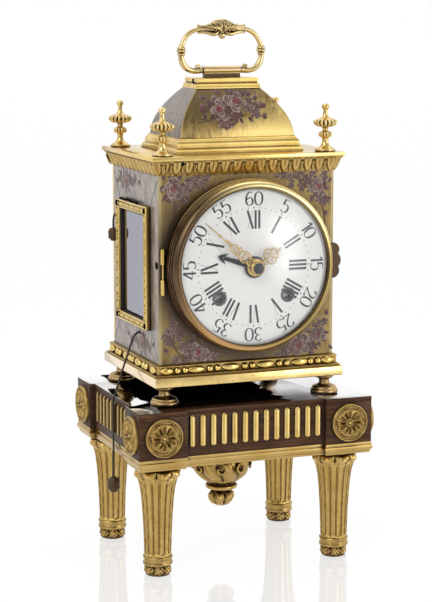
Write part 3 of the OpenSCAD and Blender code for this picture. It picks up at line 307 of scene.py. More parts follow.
def woodFinish(name, polish):
    f = Finish(name)
    spot = f.place()
    grain = f.cloud(f.place(scale=(0.08, 0.08, 1.0)), 0.9, 6.0, 0.65, 0.4)
    pores = f.cloud(f.place(scale=(0.12, 0.12, 2.6)), 1.6, 3.0, 0.7)
    age = f.cloud(spot, 0.05, 2.0)
    colour = f.ramp(grain, [(0.28, (0.03, 0.011, 0.005)), (0.5, (0.085, 0.038, 0.017)),
                            (0.74, (0.17, 0.088, 0.038))])
    colour = f.blend(pores.below(0.4, 0.05) * 0.6, colour, (0.014, 0.006, 0.003))
    colour = f.blend(age.spread(0.35, 0.7) * 0.4, colour, (0.035, 0.015, 0.008))
    # painted shade in hollows
    colour = f.blend(f.crevice(4.0).spread(0.35, 0.95), (0.006, 0.003, 0.002), colour)
    plain = f.principled(Base_Color=colour, Roughness=grain * 0.2 + 0.34,
                         Specular_IOR_Level=0.12, Coat_Weight=0.06, Coat_Roughness=0.2,
                         Normal=f.bump(pores, 0.03))
    if not polish:
        return f.finishWith(plain)
    # the top mirrors the pale room, but for a black part under the clock, a painted shadow
    shine = f.node("ShaderNodeLayerWeight", {}, {"Blend": 0.5}, out=1).spread(0.5, 0.74)
    x, y, z = (f.along(spot, k) for k in range(3))
    wave = (f.cloud(spot, 0.11, 3.0, 0.6) - 0.5) * 16.0
    # a painted shadow under the clock, with a ragged edge
    under = (x + wave).below(19.0, 0.6) * (1.0 - (x + wave * 0.5).below(-49.0, 0.6))
    mirror = f.principled(Base_Color=f.blend(shine, (0.03, 0.014, 0.008), (0.86, 0.85, 0.84)),
                          Metallic=shine, Roughness=pores * 0.03 + 0.02, Coat_Weight=0.8,
                          Coat_Roughness=0.02)
    rim = (y + wave * 0.3).below(-42.0, 1.5) * 0.8
    black = f.principled(Base_Color=f.blend(rim, (0.004, 0.003, 0.002), (0.06, 0.025, 0.012)),
                         Roughness=0.6, Specular_IOR_Level=0.0)
    top = 1.0 - z.below(84.0, 0.05)
    return f.finishWith(f.mixShader(top, plain, f.mixShader(under, mirror, black)))


def frontTone(f):
    spot = f.place()
    cloud = f.cloud(spot, 0.06, 3.0)
    brush = f.cloud(f.place(scale=(1.0, 1.0, 0.25)), 0.5, 4.0, 0.6)
    colour = f.ramp(cloud * 0.6 + brush * 0.4,
                    [(0.3, (0.13, 0.076, 0.022)), (0.5, (0.28, 0.185, 0.056)),
                     (0.72, (0.46, 0.325, 0.11))])
    stain = f.cloud(spot, 0.28, 3.0, 0.7).below(0.33, 0.03)
    colour = f.blend(stain * 0.7, colour, (0.05, 0.028, 0.012))
    shade = f.crevice(8.0).spread(0.2, 0.97)
    return f.blend(shade, (0.04, 0.023, 0.009), colour), brush


def sideTone(f, turn=0.0):
    streak = f.cloud(f.place(scale=(1.0, 1.0, 0.18), turn=(turn - 0.2, 0, 0)), 0.42, 5.0, 0.66,
                     0.9)
    fine = f.cloud(f.place(scale=(1.0, 1.0, 0.1), turn=(turn + 0.14, 0, 0)), 1.9, 3.0, 0.6)
    cloud = f.cloud(f.place(), 0.07, 2.0)
    colour = f.ramp(streak * 0.7 + cloud * 0.3,
                    [(0.3, (0.11, 0.076, 0.062)), (0.45, (0.26, 0.195, 0.155)),
                     (0.58, (0.42, 0.35, 0.285)), (0.74, (0.64, 0.56, 0.49))])
    colour = f.blend(fine.below(0.44, 0.05) * 0.8, colour, (0.09, 0.05, 0.055))
    colour = f.blend((1.0 - fine.below(0.6, 0.05)) * 0.45, colour, (0.7, 0.64, 0.6))
    return colour, fine


def enamelFront():
    f = Finish("oliveGoldEnamel")
    colour, brush = frontTone(f)
    spot = f.place()
    x, z = f.along(spot, 0), f.along(spot, 2) - dialZ
    border = 1.0 - abs(x).below(44.6, 0.12)
    colour = f.blend(border * 0.75, colour, (0.42, 0.34, 0.17))
    reach = (x * x + z * z) ** 0.5
    # a painted shadow of the bezel, to its left and below it
    leeShade = (z * 0.8 + x).spread(30.0, -14.0) * reach.spread(56.0, 44.5)
    colour = f.blend(leeShade * 0.92, colour, (0.05, 0.03, 0.014))
    return f.surface(Base_Color=colour, Metallic=0.6, Roughness=brush * 0.2 + 0.24,
                     Coat_Weight=0.25, Coat_Roughness=0.1, Normal=f.bump(brush, 0.04))


def enamelSide():  # dark seams run from the window's corners to the panel's corners
    f = Finish("lilacEnamel")
    colour, fine = sideTone(f)
    spot = f.place()
    out = abs(f.along(spot, 1)) - 22.6
    up = abs(f.along(spot, 2) - 150.5) - 30.0
    lines = abs(out * 0.79 - up * 0.61).below(0.5, 0.15) * (1.0 - out.below(0.0, 0.1))
    border = 1.0 - abs(f.along(spot, 1)).below(33.6, 0.12)
    colour = f.blend(border * 0.7, colour, (0.4, 0.33, 0.2))
    colour = f.blend(lines, colour, (0.03, 0.022, 0.02))
    shade = f.crevice(5.0).spread(0.2, 0.95)
    colour = f.blend(shade, (0.05, 0.03, 0.025), colour)
    return f.surface(Base_Color=colour, Metallic=0.1, Roughness=fine * 0.2 + 0.22,
                     Coat_Weight=0.4, Coat_Roughness=0.08,
                     Normal=f.bump(fine - lines * 2.0, 0.06))


def enamelDome():  # olive gold in front and behind, lilac at the sides
    f = Finish("domeEnamel")
    spot = f.place()
    gap = abs(f.along(spot, 0)) - abs(f.along(spot, 1)) - 7.75
    front, brush = frontTone(f)
    # painted reflection and shade: lighter low down and to the right, darker high up and to the
    # left
    paintedLight = f.along(spot, 0) * 0.4 + (220.5 - f.along(spot, 2)) + (brush - 0.5) * 16.0
    front = f.blend(paintedLight.spread(-3.0, 8.0) * 0.92, front, (0.9, 0.66, 0.23))
    front = f.blend(paintedLight.spread(-4.0, -12.0) * 0.75, front, (0.09, 0.055, 0.02))
    side, fine = sideTone(f, 0.35)
    side = f.blend(0.34, side, (0.07, 0.045, 0.025))
    colour = f.blend(gap.below(0.0, 0.1), side, front)
    colour = f.blend(abs(gap - 0.35).below(0.3, 0.12), colour, (0.035, 0.024, 0.016))
    colour = f.blend(abs(gap + 0.25).below(0.26, 0.12) * 0.8, colour, (0.6, 0.44, 0.16))
    return f.surface(Base_Color=colour, Metallic=gap.below(0.0, 0.1) * 0.55 + 0.05,
                     Roughness=brush * 0.2 + 0.24, Coat_Weight=0.25, Coat_Roughness=0.1,
                     Normal=f.bump(fine, 0.05))


def flat(name, colour, rough, metallic=0.0, coat=0.0, grain=0.0, scale=1.5, vary=0.15):
    f = Finish(name)
    spot = f.place()
    fine = f.cloud(spot, scale, 3.0)
    dark = tuple(c * (1 - vary) for c in colour)
    lift = tuple(min(1, c * (1 + vary)) for c in colour)
    return f.surface(Base_Color=f.blend(fine.spread(0.3, 0.7), dark, lift),
                     Metallic=metallic, Roughness=fine * 0.12 + rough, Coat_Weight=coat,
                     Coat_Roughness=0.05, Normal=f.bump(fine, grain))


def clearSheet(name, strength, tint):
    f = Finish(name)
    edge = f.node("ShaderNodeLayerWeight", {}, {"Blend": 0.5}, out=1)
    gleam = (edge ** 5.0) * strength[0] + strength[1]
    through = f.node("ShaderNodeBsdfTransparent", {}, {"Color": tint[0]})
    mirror = f.node("ShaderNodeBsdfGlossy", {}, {"Color": tint[1], "Roughness": 0.02})
    return f.finishWith(f.mixShader(gleam, through, mirror))


def painted():
    f = Finish("paintedPetals")
    tone = f.node("ShaderNodeAttribute", {"attribute_name": "tone"})
    stroke = f.cloud(f.place(), 2.2, 4.0, 0.7, 0.8)
    colour = f.blend(stroke.below(0.45, 0.05) * 0.6, tone, (0.045, 0.018, 0.016))
    colour = f.blend((1.0 - stroke.below(0.61, 0.04)) * 0.3, colour, (0.5, 0.38, 0.3))
    return f.surface(Base_Color=colour, Roughness=0.3, Coat_Weight=0.12,
                     Coat_Roughness=0.08, Normal=f.bump(stroke, 0.05))


mahogany = woodFinish("mahogany", False)
polishedTop = woodFinish("polishedTop", True)
frontEnamel = enamelFront()
sideEnamel = enamelSide()
domeEnamel = enamelDome()
petalPaint = painted()
dialWhite = flat("dialWhite", (0.89, 0.885, 0.86), 0.14, coat=0.5, grain=0.004, scale=0.12,
                 vary=0.02)
dialInk = flat("dialInk", (0.012, 0.011, 0.012), 0.3, grain=0.01)
bluedSteel = flat("bluedSteel", (0.012, 0.014, 0.026), 0.26, metallic=0.6, grain=0.01)


def sootFinish():
    f = Finish("pinBlack")
    fine = f.cloud(f.place(), 1.5, 3.0)
    return f.surface(Base_Color=f.blend(fine, (0.004, 0.003, 0.003), (0.02, 0.015, 0.012)),
                     Roughness=0.8, Specular_IOR_Level=0.0)


pinBlack = sootFinish()
holeSteel = flat("holeSteel", (0.085, 0.085, 0.086), 0.42, grain=0.01, vary=0.05)
greySteel = flat("greySteel", (0.42, 0.42, 0.43), 0.3, metallic=0.5, grain=0.01)
oldBronze = flat("oldBronze", (0.085, 0.05, 0.028), 0.34, metallic=0.7, grain=0.05,
                 vary=0.4)
shadeLining = flat("shadeLining", (0.018, 0.013, 0.01), 0.6)
bellMetal = flat("bellMetal", (0.6, 0.47, 0.26), 0.2, metallic=1.0, grain=0.01)
pulleyWood = flat("pulleyWood", (0.22, 0.11, 0.05), 0.45, grain=0.04, vary=0.3)
clearGlass = clearSheet("clearGlass", (0.7, 0.035), ((0.995, 0.995, 0.995), (1, 1, 1)))
# the pane darkens what is seen through it, as painted shade inside the case, and tints its mirror
# blue as a painted reflection
windowPane = clearSheet("windowPane", (0.4, 0.5), ((0.35, 0.37, 0.43), (0.68, 0.68, 0.76)))


def cordFinish():
    f = Finish("twistedSilk")
    uv = f.node("ShaderNodeTexCoord", out=2)
    twist = f.node("ShaderNodeTexWave", {"bands_direction": "DIAGONAL"},
                   {"Vector": uv, "Scale": 3.0, "Distortion": 0.6})
    colour = f.blend(twist, (0.012, 0.01, 0.009), (0.06, 0.05, 0.042))
    return f.surface(Base_Color=colour, Roughness=0.7, Normal=f.bump(twist, 0.08))


silkCord = cordFinish()
print("finishes made")


def stageFloor():
    f = Finish("paleFloor")
    eye, glossy, through = f.rays("Camera", "Glossy", "Transmission")
    seen = eye.maths("MAXIMUM", eye.maths("MAXIMUM", eye, glossy), through)
    matt = f.node("ShaderNodeBsdfDiffuse", {}, {"Color": (0.9, 0.9, 0.9)})
    sheen = f.node("ShaderNodeBsdfGlossy", {}, {"Color": (1, 1, 1), "Roughness": 0.05})
    white = f.node("ShaderNodeEmission", {}, {"Color": (1, 1, 1), "Strength": 1.04})
    facing = f.node("ShaderNodeFresnel", {}, {"IOR": 1.3})
    f.finishWith(f.mixShader(facing * 1.25, f.mixShader(seen * 0.9, matt, white), sheen))
    bpy.ops.mesh.primitive_plane_add(size=30, location=(0, 0, 0))
    floor = bpy.context.object
    floor.name = "floor"
    floor.data.materials.append(f.material)


skyPatches = [  # direction, width and strength of the bright places that metal mirrors
    ((-0.72, -0.45, 0.53), 0.06, 3.2), ((0.36, -0.92, 0.1), 0.28, 0.6),
    ((0.6, -0.78, 0.13), 0.016, 5.5), ((0.95, -0.25, 0.18), 0.09, 1.2),
    ((0.05, 0.1, 0.99), 0.1, 1.6)]


def studioWorld():
    world = bpy.data.worlds.new("studio")
    bpy.context.scene.world = world
    world.use_nodes = True
    f = Finish("studio", world.node_tree)
    eye, glossy = f.rays("Camera", "Glossy")
    way = f.node("ShaderNodeTexCoord", out=0)
    seen = f.along(way, 1).spread(-0.35, 0.35, 0.13, 1.0)
    for direction, width, strength in skyPatches:
        unit = tuple(Vector(direction).normalized())
        near = f.node("ShaderNodeVectorMath", {"operation": "DOT_PRODUCT"},
                      {0: way, 1: unit}, out=1)
        seen = seen + near.maths("EXPONENT", (near - 1.0) / width) * strength
    level = glossy * seen + (1.0 - glossy) * 0.5
    level = eye + (1.0 - eye) * level
    f.node("ShaderNodeOutputWorld", {}, {
        "Surface": f.node("ShaderNodeBackground", {}, {"Color": (1, 1, 1),
                                                       "Strength": level})})


def softbox(name, place, aim, size, power):
    lamp = bpy.data.lights.new(name, "AREA")
    lamp.shape = "RECTANGLE"
    lamp.size, lamp.size_y = size
    lamp.energy = power
    made = newObject(name, lamp)
    made.location = place
    away = Vector(place) - Vector(aim)
    made.rotation_euler = away.to_track_quat("Z", "Y").to_euler()
    made.visible_glossy = False  # metal and glass see the world's soft patches instead


stageFloor()
studioWorld()
softbox("keyLight", (-0.75, -0.75, 0.75), (0, 0, 0.14), (0.45, 0.6), 3.2)
softbox("frontLight", (0.55, -1.1, 0.45), (0, 0, 0.12), (0.3, 0.7), 2.5)
softbox("topLight", (0.1, 0.1, 1.0), (0, 0, 0.15), (0.7, 0.7), 2.2)
print("stage set")


# geometry helpers, all in millimetres
class Heap:  # loose geometry that becomes one mesh
    def __init__(self):
        self.points = []
        self.faces = []
        self.tones = []
        self.count = 0

    def add(self, points, faces, tone=None):
        points = np.asarray(points, float).reshape(-1, 3)
        self.points.append(points)
        self.faces.extend([tuple(i + self.count for i in face) for face in faces])
        tone = np.ones((len(points), 3)) if tone is None else np.asarray(tone, float)
        self.tones.append(np.broadcast_to(tone, (len(points), 3)))
        self.count += len(points)


def netFaces(rows, cols, wrapRows=False, wrapCols=False):
    faces = []
    for i in range(rows if wrapRows else rows - 1):
        for j in range(cols if wrapCols else cols - 1):
            a, b = i * cols + j, i * cols + (j + 1) % cols
            c, d = (i + 1) % rows * cols + (j + 1) % cols, (i + 1) % rows * cols + j
            faces.append((a, b, c, d))
    return faces


@contextmanager
def editing(mesh):
    work = bmesh.new()
    work.from_mesh(mesh)
    yield work
    work.to_mesh(mesh)
    work.free()


def finished(name, mesh, finish, smooth):
    mesh.materials.clear()
    mesh.materials.append(finish)
    mesh.shade_smooth()
    mesh.set_sharp_from_angle(angle=math.radians(smooth))
    return newObject(name, mesh)


def toObject(name, heap, finish, smooth=38, weld=True, turnOut=True, toned=False):
    mesh = bpy.data.meshes.new(name)
    points = np.concatenate(heap.points) * mm
    mesh.from_pydata(points.tolist(), [], heap.faces)
    if toned:
        tone = mesh.color_attributes.new("tone", "FLOAT_COLOR", "POINT")
        values = np.ones((len(points), 4))
        values[:, :3] = np.concatenate(heap.tones)
        tone.data.foreach_set("color", values.ravel())
    with editing(mesh) as work:
        if weld:
            bmesh.ops.remove_doubles(work, verts=work.verts, dist=2e-6)
            bmesh.ops.dissolve_degenerate(work, edges=work.edges, dist=1e-7)
        if turnOut:
            bmesh.ops.recalc_face_normals(work, faces=work.faces)
    return finished(name, mesh, finish, smooth)


def settle(piece, body=clockBody, nodes=()):
    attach(piece, body)
    if nodes:
        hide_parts(*nodes)
    return piece


def build(name, heap, finish, smooth=38, body=clockBody, slot="gilt", nodes=(), **rest):
    settle(toObject(name, heap, finish, smooth, **rest), body, nodes)


def at(x=0.0, y=0.0, z=0.0):
    return lambda p: p + np.array([x, y, z])


def corners(x, y):  # the four places of a corner piece
    return [at(sx * x, sy * y) for sx in (-1, 1) for sy in (-1, 1)]


def onFace(side, reach, z=0.0):
    # u, v, outwards on a wall: side 0 is the front, 1 the right, 2 the back, 3 the left
    c, s, _ = wayOf(side)[1]

    def put(p):
        x, y = p[:, 0], -reach - p[:, 2]
        return np.stack([c * x - s * y, s * x + c * y, p[:, 1] + z], 1)
    return put


def wayOf(side):  # a wall's turn, the way along it and the way out of it
    turn = math.pi / 2 * side
    along = Vector((round(math.cos(turn)), round(math.sin(turn)), 0))
    return turn, along, Vector((along.y, -along.x, 0))


def smoothLine(points, steps=6):
    # a soft curve through the points; a point given twice keeps its corner
    points = [np.array(p, float) for p in points]
    made = []
    for i in range(len(points) - 1):
        a, b = points[i], points[i + 1]
        if np.allclose(a, b):
            continue
        before = points[i - 1] if i > 0 else 2 * a - b
        after = points[i + 2] if i + 2 < len(points) else 2 * b - a
        for k in range(steps):
            t = k / steps
            made.append(0.5 * (2 * a + (b - before) * t
                               + (2 * before - 5 * a + 4 * b - after) * t * t
                               + (3 * a - before - 3 * b + after) * t ** 3))
    made.append(points[-1])
    return np.array(made)


def lathe(heap, profile, sides, put, ripple=None, grooveShade=0.0):
    profile = np.asarray(profile, float)
    angle = np.arange(sides) * 2 * math.pi / sides
    a, r = np.meshgrid(angle, profile[:, 0])
    z = np.broadcast_to(profile[:, 1:2], r.shape)
    tone = np.ones(r.size)
    if ripple:
        plain = r
        r, z, *own = ripple(a, r, z)
        if own:
            tone = np.broadcast_to(own[0], r.shape).ravel()
        # deeper cuts get a darker tone: painted shade in the grooves
        elif grooveShade:
            tone = 1 - 0.85 * np.clip((plain - r) / grooveShade, 0, 1).ravel()
    points = np.stack([r * np.cos(a), r * np.sin(a), z], 2)
    heap.add(put(points.reshape(-1, 3)), netFaces(len(profile), sides, wrapCols=True),
             np.repeat(tone[:, None], 3, 1))


def tube(heap, path, radius, sides=10, closed=False, put=None, squash=1.0):
    path = np.asarray(path, float)
    n = len(path)
    radius = np.broadcast_to(np.asarray(radius, float), (n,))
    tangent = (np.roll(path, -1, 0) - np.roll(path, 1, 0)) if closed \
        else np.gradient(path, axis=0)
    tangent /= np.linalg.norm(tangent, axis=1)[:, None]
    hint = np.array([0, 0, 1.0]) if abs(tangent[0][2]) < 0.9 else np.array([0, 1.0, 0])
    rings = []
    u = hint
    for i in range(n):
        u = u - tangent[i] * (u @ tangent[i])
        u /= np.linalg.norm(u)
        w = np.cross(tangent[i], u)
        a = np.arange(sides) * 2 * math.pi / sides
        rings.append(path[i] + radius[i] * (np.cos(a)[:, None] * u * squash
                                            + np.sin(a)[:, None] * w))
    points = np.concatenate(rings)
    faces = netFaces(n, sides, wrapRows=closed, wrapCols=True)
    if not closed:
        points = np.concatenate([points, path[:1], path[-1:]])
        for j in range(sides):
            faces.append((n * sides, (j + 1) % sides, j))
            faces.append((n * sides + 1, (n - 1) * sides + j, (n - 1) * sides + (j + 1) % sides))
    heap.add(put(points) if put else points, faces)


def slabRing(outlines, bore=None):
    # stacked outlines with the same number of corners, capped, or with a square hole through
    heap = Heap()
    if bore:
        outlines = outlines + [boxRing(*bore, outlines[k][0, 2]) for k in (-1, 0)]
    rows = len(outlines)
    cols = len(outlines[0])
    faces = netFaces(rows, cols, wrapRows=bool(bore), wrapCols=True)
    if not bore:
        faces.append(tuple(range(cols))[::-1])
        faces.append(tuple((rows - 1) * cols + j for j in range(cols)))
    heap.add(np.concatenate(outlines), faces)
    return heap


def boxRing(halfX, halfY, z):
    return np.array([[-halfX, -halfY, z], [halfX, -halfY, z],
                     [halfX, halfY, z], [-halfX, halfY, z]], float)


def boxMoulding(halfX, halfY, profile, bore=None):  # profile: steps outwards and heights
    return slabRing([boxRing(halfX + e, halfY + e, z) for e, z in profile], bore)


# geometry nodes for what repeats
def treeNode(tree, kind, sockets=None, **settings):
    made = tree.nodes.new(kind)
    for key, value in settings.items():
        setattr(made, key, value)
    for key, value in (sockets or {}).items():
        if isinstance(value, bpy.types.NodeSocket):
            tree.links.new(value, made.inputs[key])
        else:
            made.inputs[key].default_value = value
    return made.outputs


def repeatTree(name, wanted, lay):  # lay gives the points and each copy's turn
    tree = bpy.data.node_groups.new(name, "GeometryNodeTree")
    for label, kind in [("Piece", "Object"), ("Count", "Int"), ("Turn", "Vector"),
                        ("Finish", "Material")] + wanted:
        tree.interface.new_socket(label, in_out="INPUT", socket_type="NodeSocket" + kind)
    tree.interface.new_socket("Result", in_out="OUTPUT", socket_type="NodeSocketGeometry")
    given = treeNode(tree, "NodeGroupInput")
    points, turn = lay(tree, given)
    part = treeNode(tree, "GeometryNodeObjectInfo", {"Object": given["Piece"]})
    turned = treeNode(tree, "FunctionNodeEulerToRotation", {0: turn})
    copies = treeNode(tree, "GeometryNodeInstanceOnPoints",
                      {"Points": points, "Instance": part["Geometry"], "Rotation": turned[0]})
    if "Centre" in given:
        copies = treeNode(tree, "GeometryNodeTransform",
                          {"Geometry": copies[0], "Translation": given["Centre"],
                           "Rotation": given["Turn"]})
    real = treeNode(tree, "GeometryNodeRealizeInstances", {0: copies[0]})
    coloured = treeNode(tree, "GeometryNodeSetMaterial",
                        {0: real[0], "Material": given["Finish"]})
    treeNode(tree, "NodeGroupOutput", {0: coloured[0]})
    return tree


def layRow(tree, given):
    line = treeNode(tree, "GeometryNodeMeshLine",
                    {"Count": given["Count"], "Start Location": given["Start"],
                     "Offset": given["Step"]}, mode="OFFSET")
    return line[0], given["Turn"]


def layRing(tree, given):  # each copy faces outwards
    circle = treeNode(tree, "GeometryNodeMeshCircle",
                      {"Vertices": given["Count"], "Radius": given["Radius"]})
    index = treeNode(tree, "GeometryNodeInputIndex")
    step = treeNode(tree, "ShaderNodeMath", {0: 2 * math.pi, 1: given["Count"]},
                    operation="DIVIDE")
    angle = treeNode(tree, "ShaderNodeMath", {0: index[0], 1: step[0]}, operation="MULTIPLY")
    return circle[0], treeNode(tree, "ShaderNodeCombineXYZ", {"Z": angle[0]})[0]


rowOf = repeatTree("row", [("Start", "Vector"), ("Step", "Vector")], layRow)
ringOf = repeatTree("ring", [("Radius", "Float"), ("Centre", "Vector")], layRing)


def baked(host):  # the host's mesh with its modifiers
    graph = bpy.context.evaluated_depsgraph_get()
    mesh = bpy.data.meshes.new_from_object(host.evaluated_get(graph))
    bpy.data.objects.remove(host)
    return mesh


def runTree(tree, piece, **values):
    host = newObject("host", bpy.data.meshes.new("host"))
    modifier = host.modifiers.new("repeat", "NODES")
    modifier.node_group = tree
    values.update(Piece=piece, Finish=piece.data.materials[0])
    for item in tree.interface.items_tree:
        if item.in_out == "INPUT":
            modifier[item.identifier] = values[item.name]
    return baked(host)


def gather(name, meshes, finish, smooth=38):
    # joins plain meshes into one piece at the origin
    whole = bpy.data.meshes.new(name)
    with editing(whole) as work:
        for mesh in meshes:
            work.from_mesh(mesh)
    return finished(name, whole, finish, smooth)


def buildRows(name, meshes, finish, smooth=38, nodes=()):
    settle(gather(name, meshes, finish, smooth), nodes=nodes)


def vec(values):
    return tuple(v * mm for v in values)


def rowOn(side, piece, count, first, gap, reach, z):  # a row along one wall
    turn, along, outward = wayOf(side)
    start = along * first + outward * reach
    return rowMesh(piece, count, (start.x, start.y, z), along * gap, (0, 0, turn))


def rowMesh(piece, count, start, step, turn):
    return runTree(rowOf, piece, Count=count, Start=vec(start), Step=vec(step), Turn=turn)


def ringMesh(piece, count, radius, centre, turn):
    return runTree(ringOf, piece, Count=count, Radius=radius * mm, Centre=vec(centre), Turn=turn)


def drop(*pieces):  # small pieces that only the trees repeat
    for piece in pieces:
        bpy.data.objects.remove(piece)


# pull cord, with the route of the source
cordSizes = {"diameter": 1.0, "shortKnob": (5.3, 5.6), "longKnob": (6.1, 6.4), "knob": [
    (0, 0), (0.45, 0), (0.45, 0), (0.8, -0.1), (1, -0.3), (1, -0.62), (0.97, -0.66),
    (0.97, -0.66), (1, -0.7), (1, -0.86), (0.86, -1), (0.86, -1), (0.6, -1.02), (0.6, -1.02),
    (0.55, -1.15), (0.3, -1.2), (0, -1.2)]}
cordRoute = [
    (-48.8, 26.2, 165), (-48.8, 26.2, 168), (-48.6, 26.2, 170.4), (-47.8, 26.2, 172),
    (-46, 26.2, 172.5), (-43.6, 26.2, 172.4), (-41, 25.4, 171.6), (-39.6, 23, 169.8),
    (-39.2, 18, 167), (-39.2, 10, 163.4), (-39.2, 2, 159.8), (-39.2, -1, 157.8),
    (-39.2, -3.4, 155.1), (-39.2, -4.9, 151.8), (-39.2, -5.5, 148), (-39.2, -5.5, 136),
    (-39.2, -5.4, 124), (-39.8, -5.2, 119.6), (-41.6, -5, 117), (-44, -5, 116.2),
    (-46, -5, 116), (-48, -5.1, 115), (-49.6, -5.3, 112.4), (-52.4, -5.7, 105),
    (-56, -6.3, 95.4), (-59.4, -6.9, 86), (-60.3, -7, 83.2), (-60.5, -7, 80),
    (-60.5, -7, 62), (-60.5, -7, 43.4)]


def pullCord():
    path = smoothLine(cordRoute, 5) * mm
    line = bpy.data.curves.new("pullCord", "CURVE")
    line.dimensions = "3D"
    line.bevel_depth = cordSizes["diameter"] / 2 * mm
    line.bevel_resolution = 3
    line.use_fill_caps = True
    spline = line.splines.new("POLY")
    spline.points.add(len(path) - 1)
    spline.points.foreach_set("co", np.hstack([path, np.ones((len(path), 1))]).ravel())
    cord = newObject("pullCord", line)
    line.materials.append(silkCord)
    settle(cord, nodes=["pull_cord"])
    heap = Heap()
    for end, (d, h) in ((cordRoute[0], cordSizes["shortKnob"]),
                        (cordRoute[-1], cordSizes["longKnob"])):
        barrel = smoothLine(np.array(cordSizes["knob"]) * [d / 2, h], 4)
        lathe(heap, barrel, 24, at(*end))
    knobs = toObject("cordKnobs", heap, oldBronze)
    settle(knobs, nodes=["cord_knobs"])
    length = float(np.linalg.norm(np.diff(path, axis=0), axis=1).sum())
    cordSizes["diameter"] * mm
    return length


print("pull cord, metres:", round(pullCord(), 4))


# plain CAD metalwork and wood, with its sharp edges eased
def eased(node, finish, width):
    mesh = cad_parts[node].data.copy()
    with editing(mesh) as work:
        bmesh.ops.remove_doubles(work, verts=work.verts, dist=1e-6)
        bmesh.ops.dissolve_limit(work, angle_limit=0.01, verts=work.verts, edges=work.edges)
    host = newObject(node + "Host", mesh)
    edge = host.modifiers.new("edge", "BEVEL")
    edge.width = width * mm
    edge.segments = 2
    edge.limit_method = "ANGLE"
    edge.angle_limit = math.radians(28)
    settle(finished("eased_" + node, baked(host), finish, 45), nodes=[node])


for node, finish, width, slot in [
        ("stand_top", polishedTop, 0.12, "mahogany"), ("stand_frame", mahogany, 0.18, "mahogany"),
        ("base_plate", plateGilt, 0.4, "gilt"), ("cornice_slab", brightGilt, 0.3, "gilt"),
        ("window_frames", frameGilt, 0.35, "gilt")]:
    eased(node, finish, width)
print("edges eased")


# gilt moulding and flutes of the stand
standSizes = {
    "half": (61.4, 49.8), "block": (24.7, 21.0), "recess": 2.7, "fluteZ": 73.2,
    "flute": (1.8, 1.2, 16.0), "pitch": 5.55, "front": 13, "side": 9,
    "moulding": [(-0.6, 55.3), (-0.45, 56.0), (-0.35, 56.6), (0.15, 57.0), (0.5, 57.7),
                 (0.6, 58.4), (0.45, 59.1), (0.05, 59.45), (0.05, 59.6), (0.12, 60.1),
                 (0.1, 60.6), (0.0, 60.85), (-3.4, 60.85), (-3.4, 55.3)],
    "inside": [(58.2, 46.5, 60.8), (58.2, 46.5, 55.5), (34.5, 22.9, 55.5), (34.5, 22.9, 60.8)]}


def standPlan(e, z):
    x0, y0 = (h + e for h in standSizes["half"])
    xi, yi = (h - b - e for h, b in zip(standSizes["half"], standSizes["block"]))
    xr, yr = x0 - standSizes["recess"], y0 - standSizes["recess"]
    corner = [(xi, yr), (xi, y0), (x0, y0), (x0, yi), (xr, yi)]
    ring = []
    for sx, sy in ((1, -1), (1, 1), (-1, 1), (-1, -1)):
        part = corner if sx * sy < 0 else corner[::-1]
        ring += [(sx * x, sy * y, z) for x, y in part]
    return np.array(ring, float)


def standMoulding():
    heap = Heap()
    for rings in ([standPlan(*step) for step in standSizes["moulding"]],
                  [boxRing(*step) for step in standSizes["inside"]]):
        heap.add(np.concatenate(rings),
                 netFaces(len(rings), len(rings[0]), wrapRows=True, wrapCols=True))
    build("standMoulding", heap, mouldGilt, smooth=34, nodes=["stand_moulding"])
    half, out, length = standSizes["flute"]
    heap = Heap()
    t = np.linspace(0.03, math.pi / 2, 7)
    end = [(half * math.sin(a), half * (1 - math.cos(a))) for a in t]
    line = [(r, e - length / 2) for r, e in end] + [(r, length / 2 - e) for r, e in end[::-1]]
    line = smoothLine(line, 2)
    # the bars' sides get a darker tone: painted shade
    lathe(heap, line, 28, lambda p: p * [0.95, out / half, 1],
          lambda a, r, z: (r, z, np.clip(0.22 + np.abs(np.sin(a + 0.4)) ** 3, 0, 1)))
    seed = toObject("fluteBar", heap, barGilt, smooth=60, toned=True)
    made = []
    for side in range(4):
        count = standSizes["side" if side % 2 else "front"]
        reach = standSizes["half"][(side + 1) % 2] - standSizes["recess"]
        made.append(rowOn(side, seed, count, (1 - count) / 2 * standSizes["pitch"],
                          standSizes["pitch"], reach, standSizes["fluteZ"]))
    drop(seed)
    buildRows("fluteBars", made, barGilt, smooth=60, nodes=["flutes"])


standMoulding()


# mouldings of the case: steps outwards and heights
domeSizes = {"half": (30, 22.25), "bore": (28.5, 20.75), "steps": [
    (3.65, 205.8), (3.65, 206.6), (3.35, 206.8), (3.4, 207.5), (3.1, 208.2), (2.4, 208.6),
    (2.1, 208.7), (2.05, 209.1), (2.25, 210.0), (2.1, 211.0), (1.5, 211.8), (0.95, 212.2),
    (0.85, 212.4), (0.85, 213.0), (0.2, 213.3)]}
capSizes = {"half": (17.1, 9.85), "steps": [
    (0, 236.5), (0, 237.0), (-0.3, 237.6), (-0.35, 238.6), (-0.9, 239.0), (-1.3, 239.2),
    (-1.35, 239.5), (-0.95, 239.7), (-0.9, 240.6), (-1.05, 241.3), (-1.5, 241.6)]}
baseSizes = {"half": (46, 35.2), "steps": [
    (3.0, 98.6), (3.0, 99.4), (2.7, 99.65), (1.6, 99.7), (1.6, 103.3), (1.9, 103.4),
    (1.9, 103.9), (1.0, 104.4)], "z": 101.5, "out": 1.7, "bead": 1.75, "ovals": (10.0, 7.6),
    "radius": 2.05,
    "long": [(0, -27.6, 18.4, 4), (1, -42.6, 85.2, 2), (2, -18.4, 18.4, 3), (2, -35.3, 70.6, 2)],
    "short": [(0, -9.2, 18.4, 2), (1, -31.8, 63.6, 2), (2, -20.5, 20.5, 3)]}


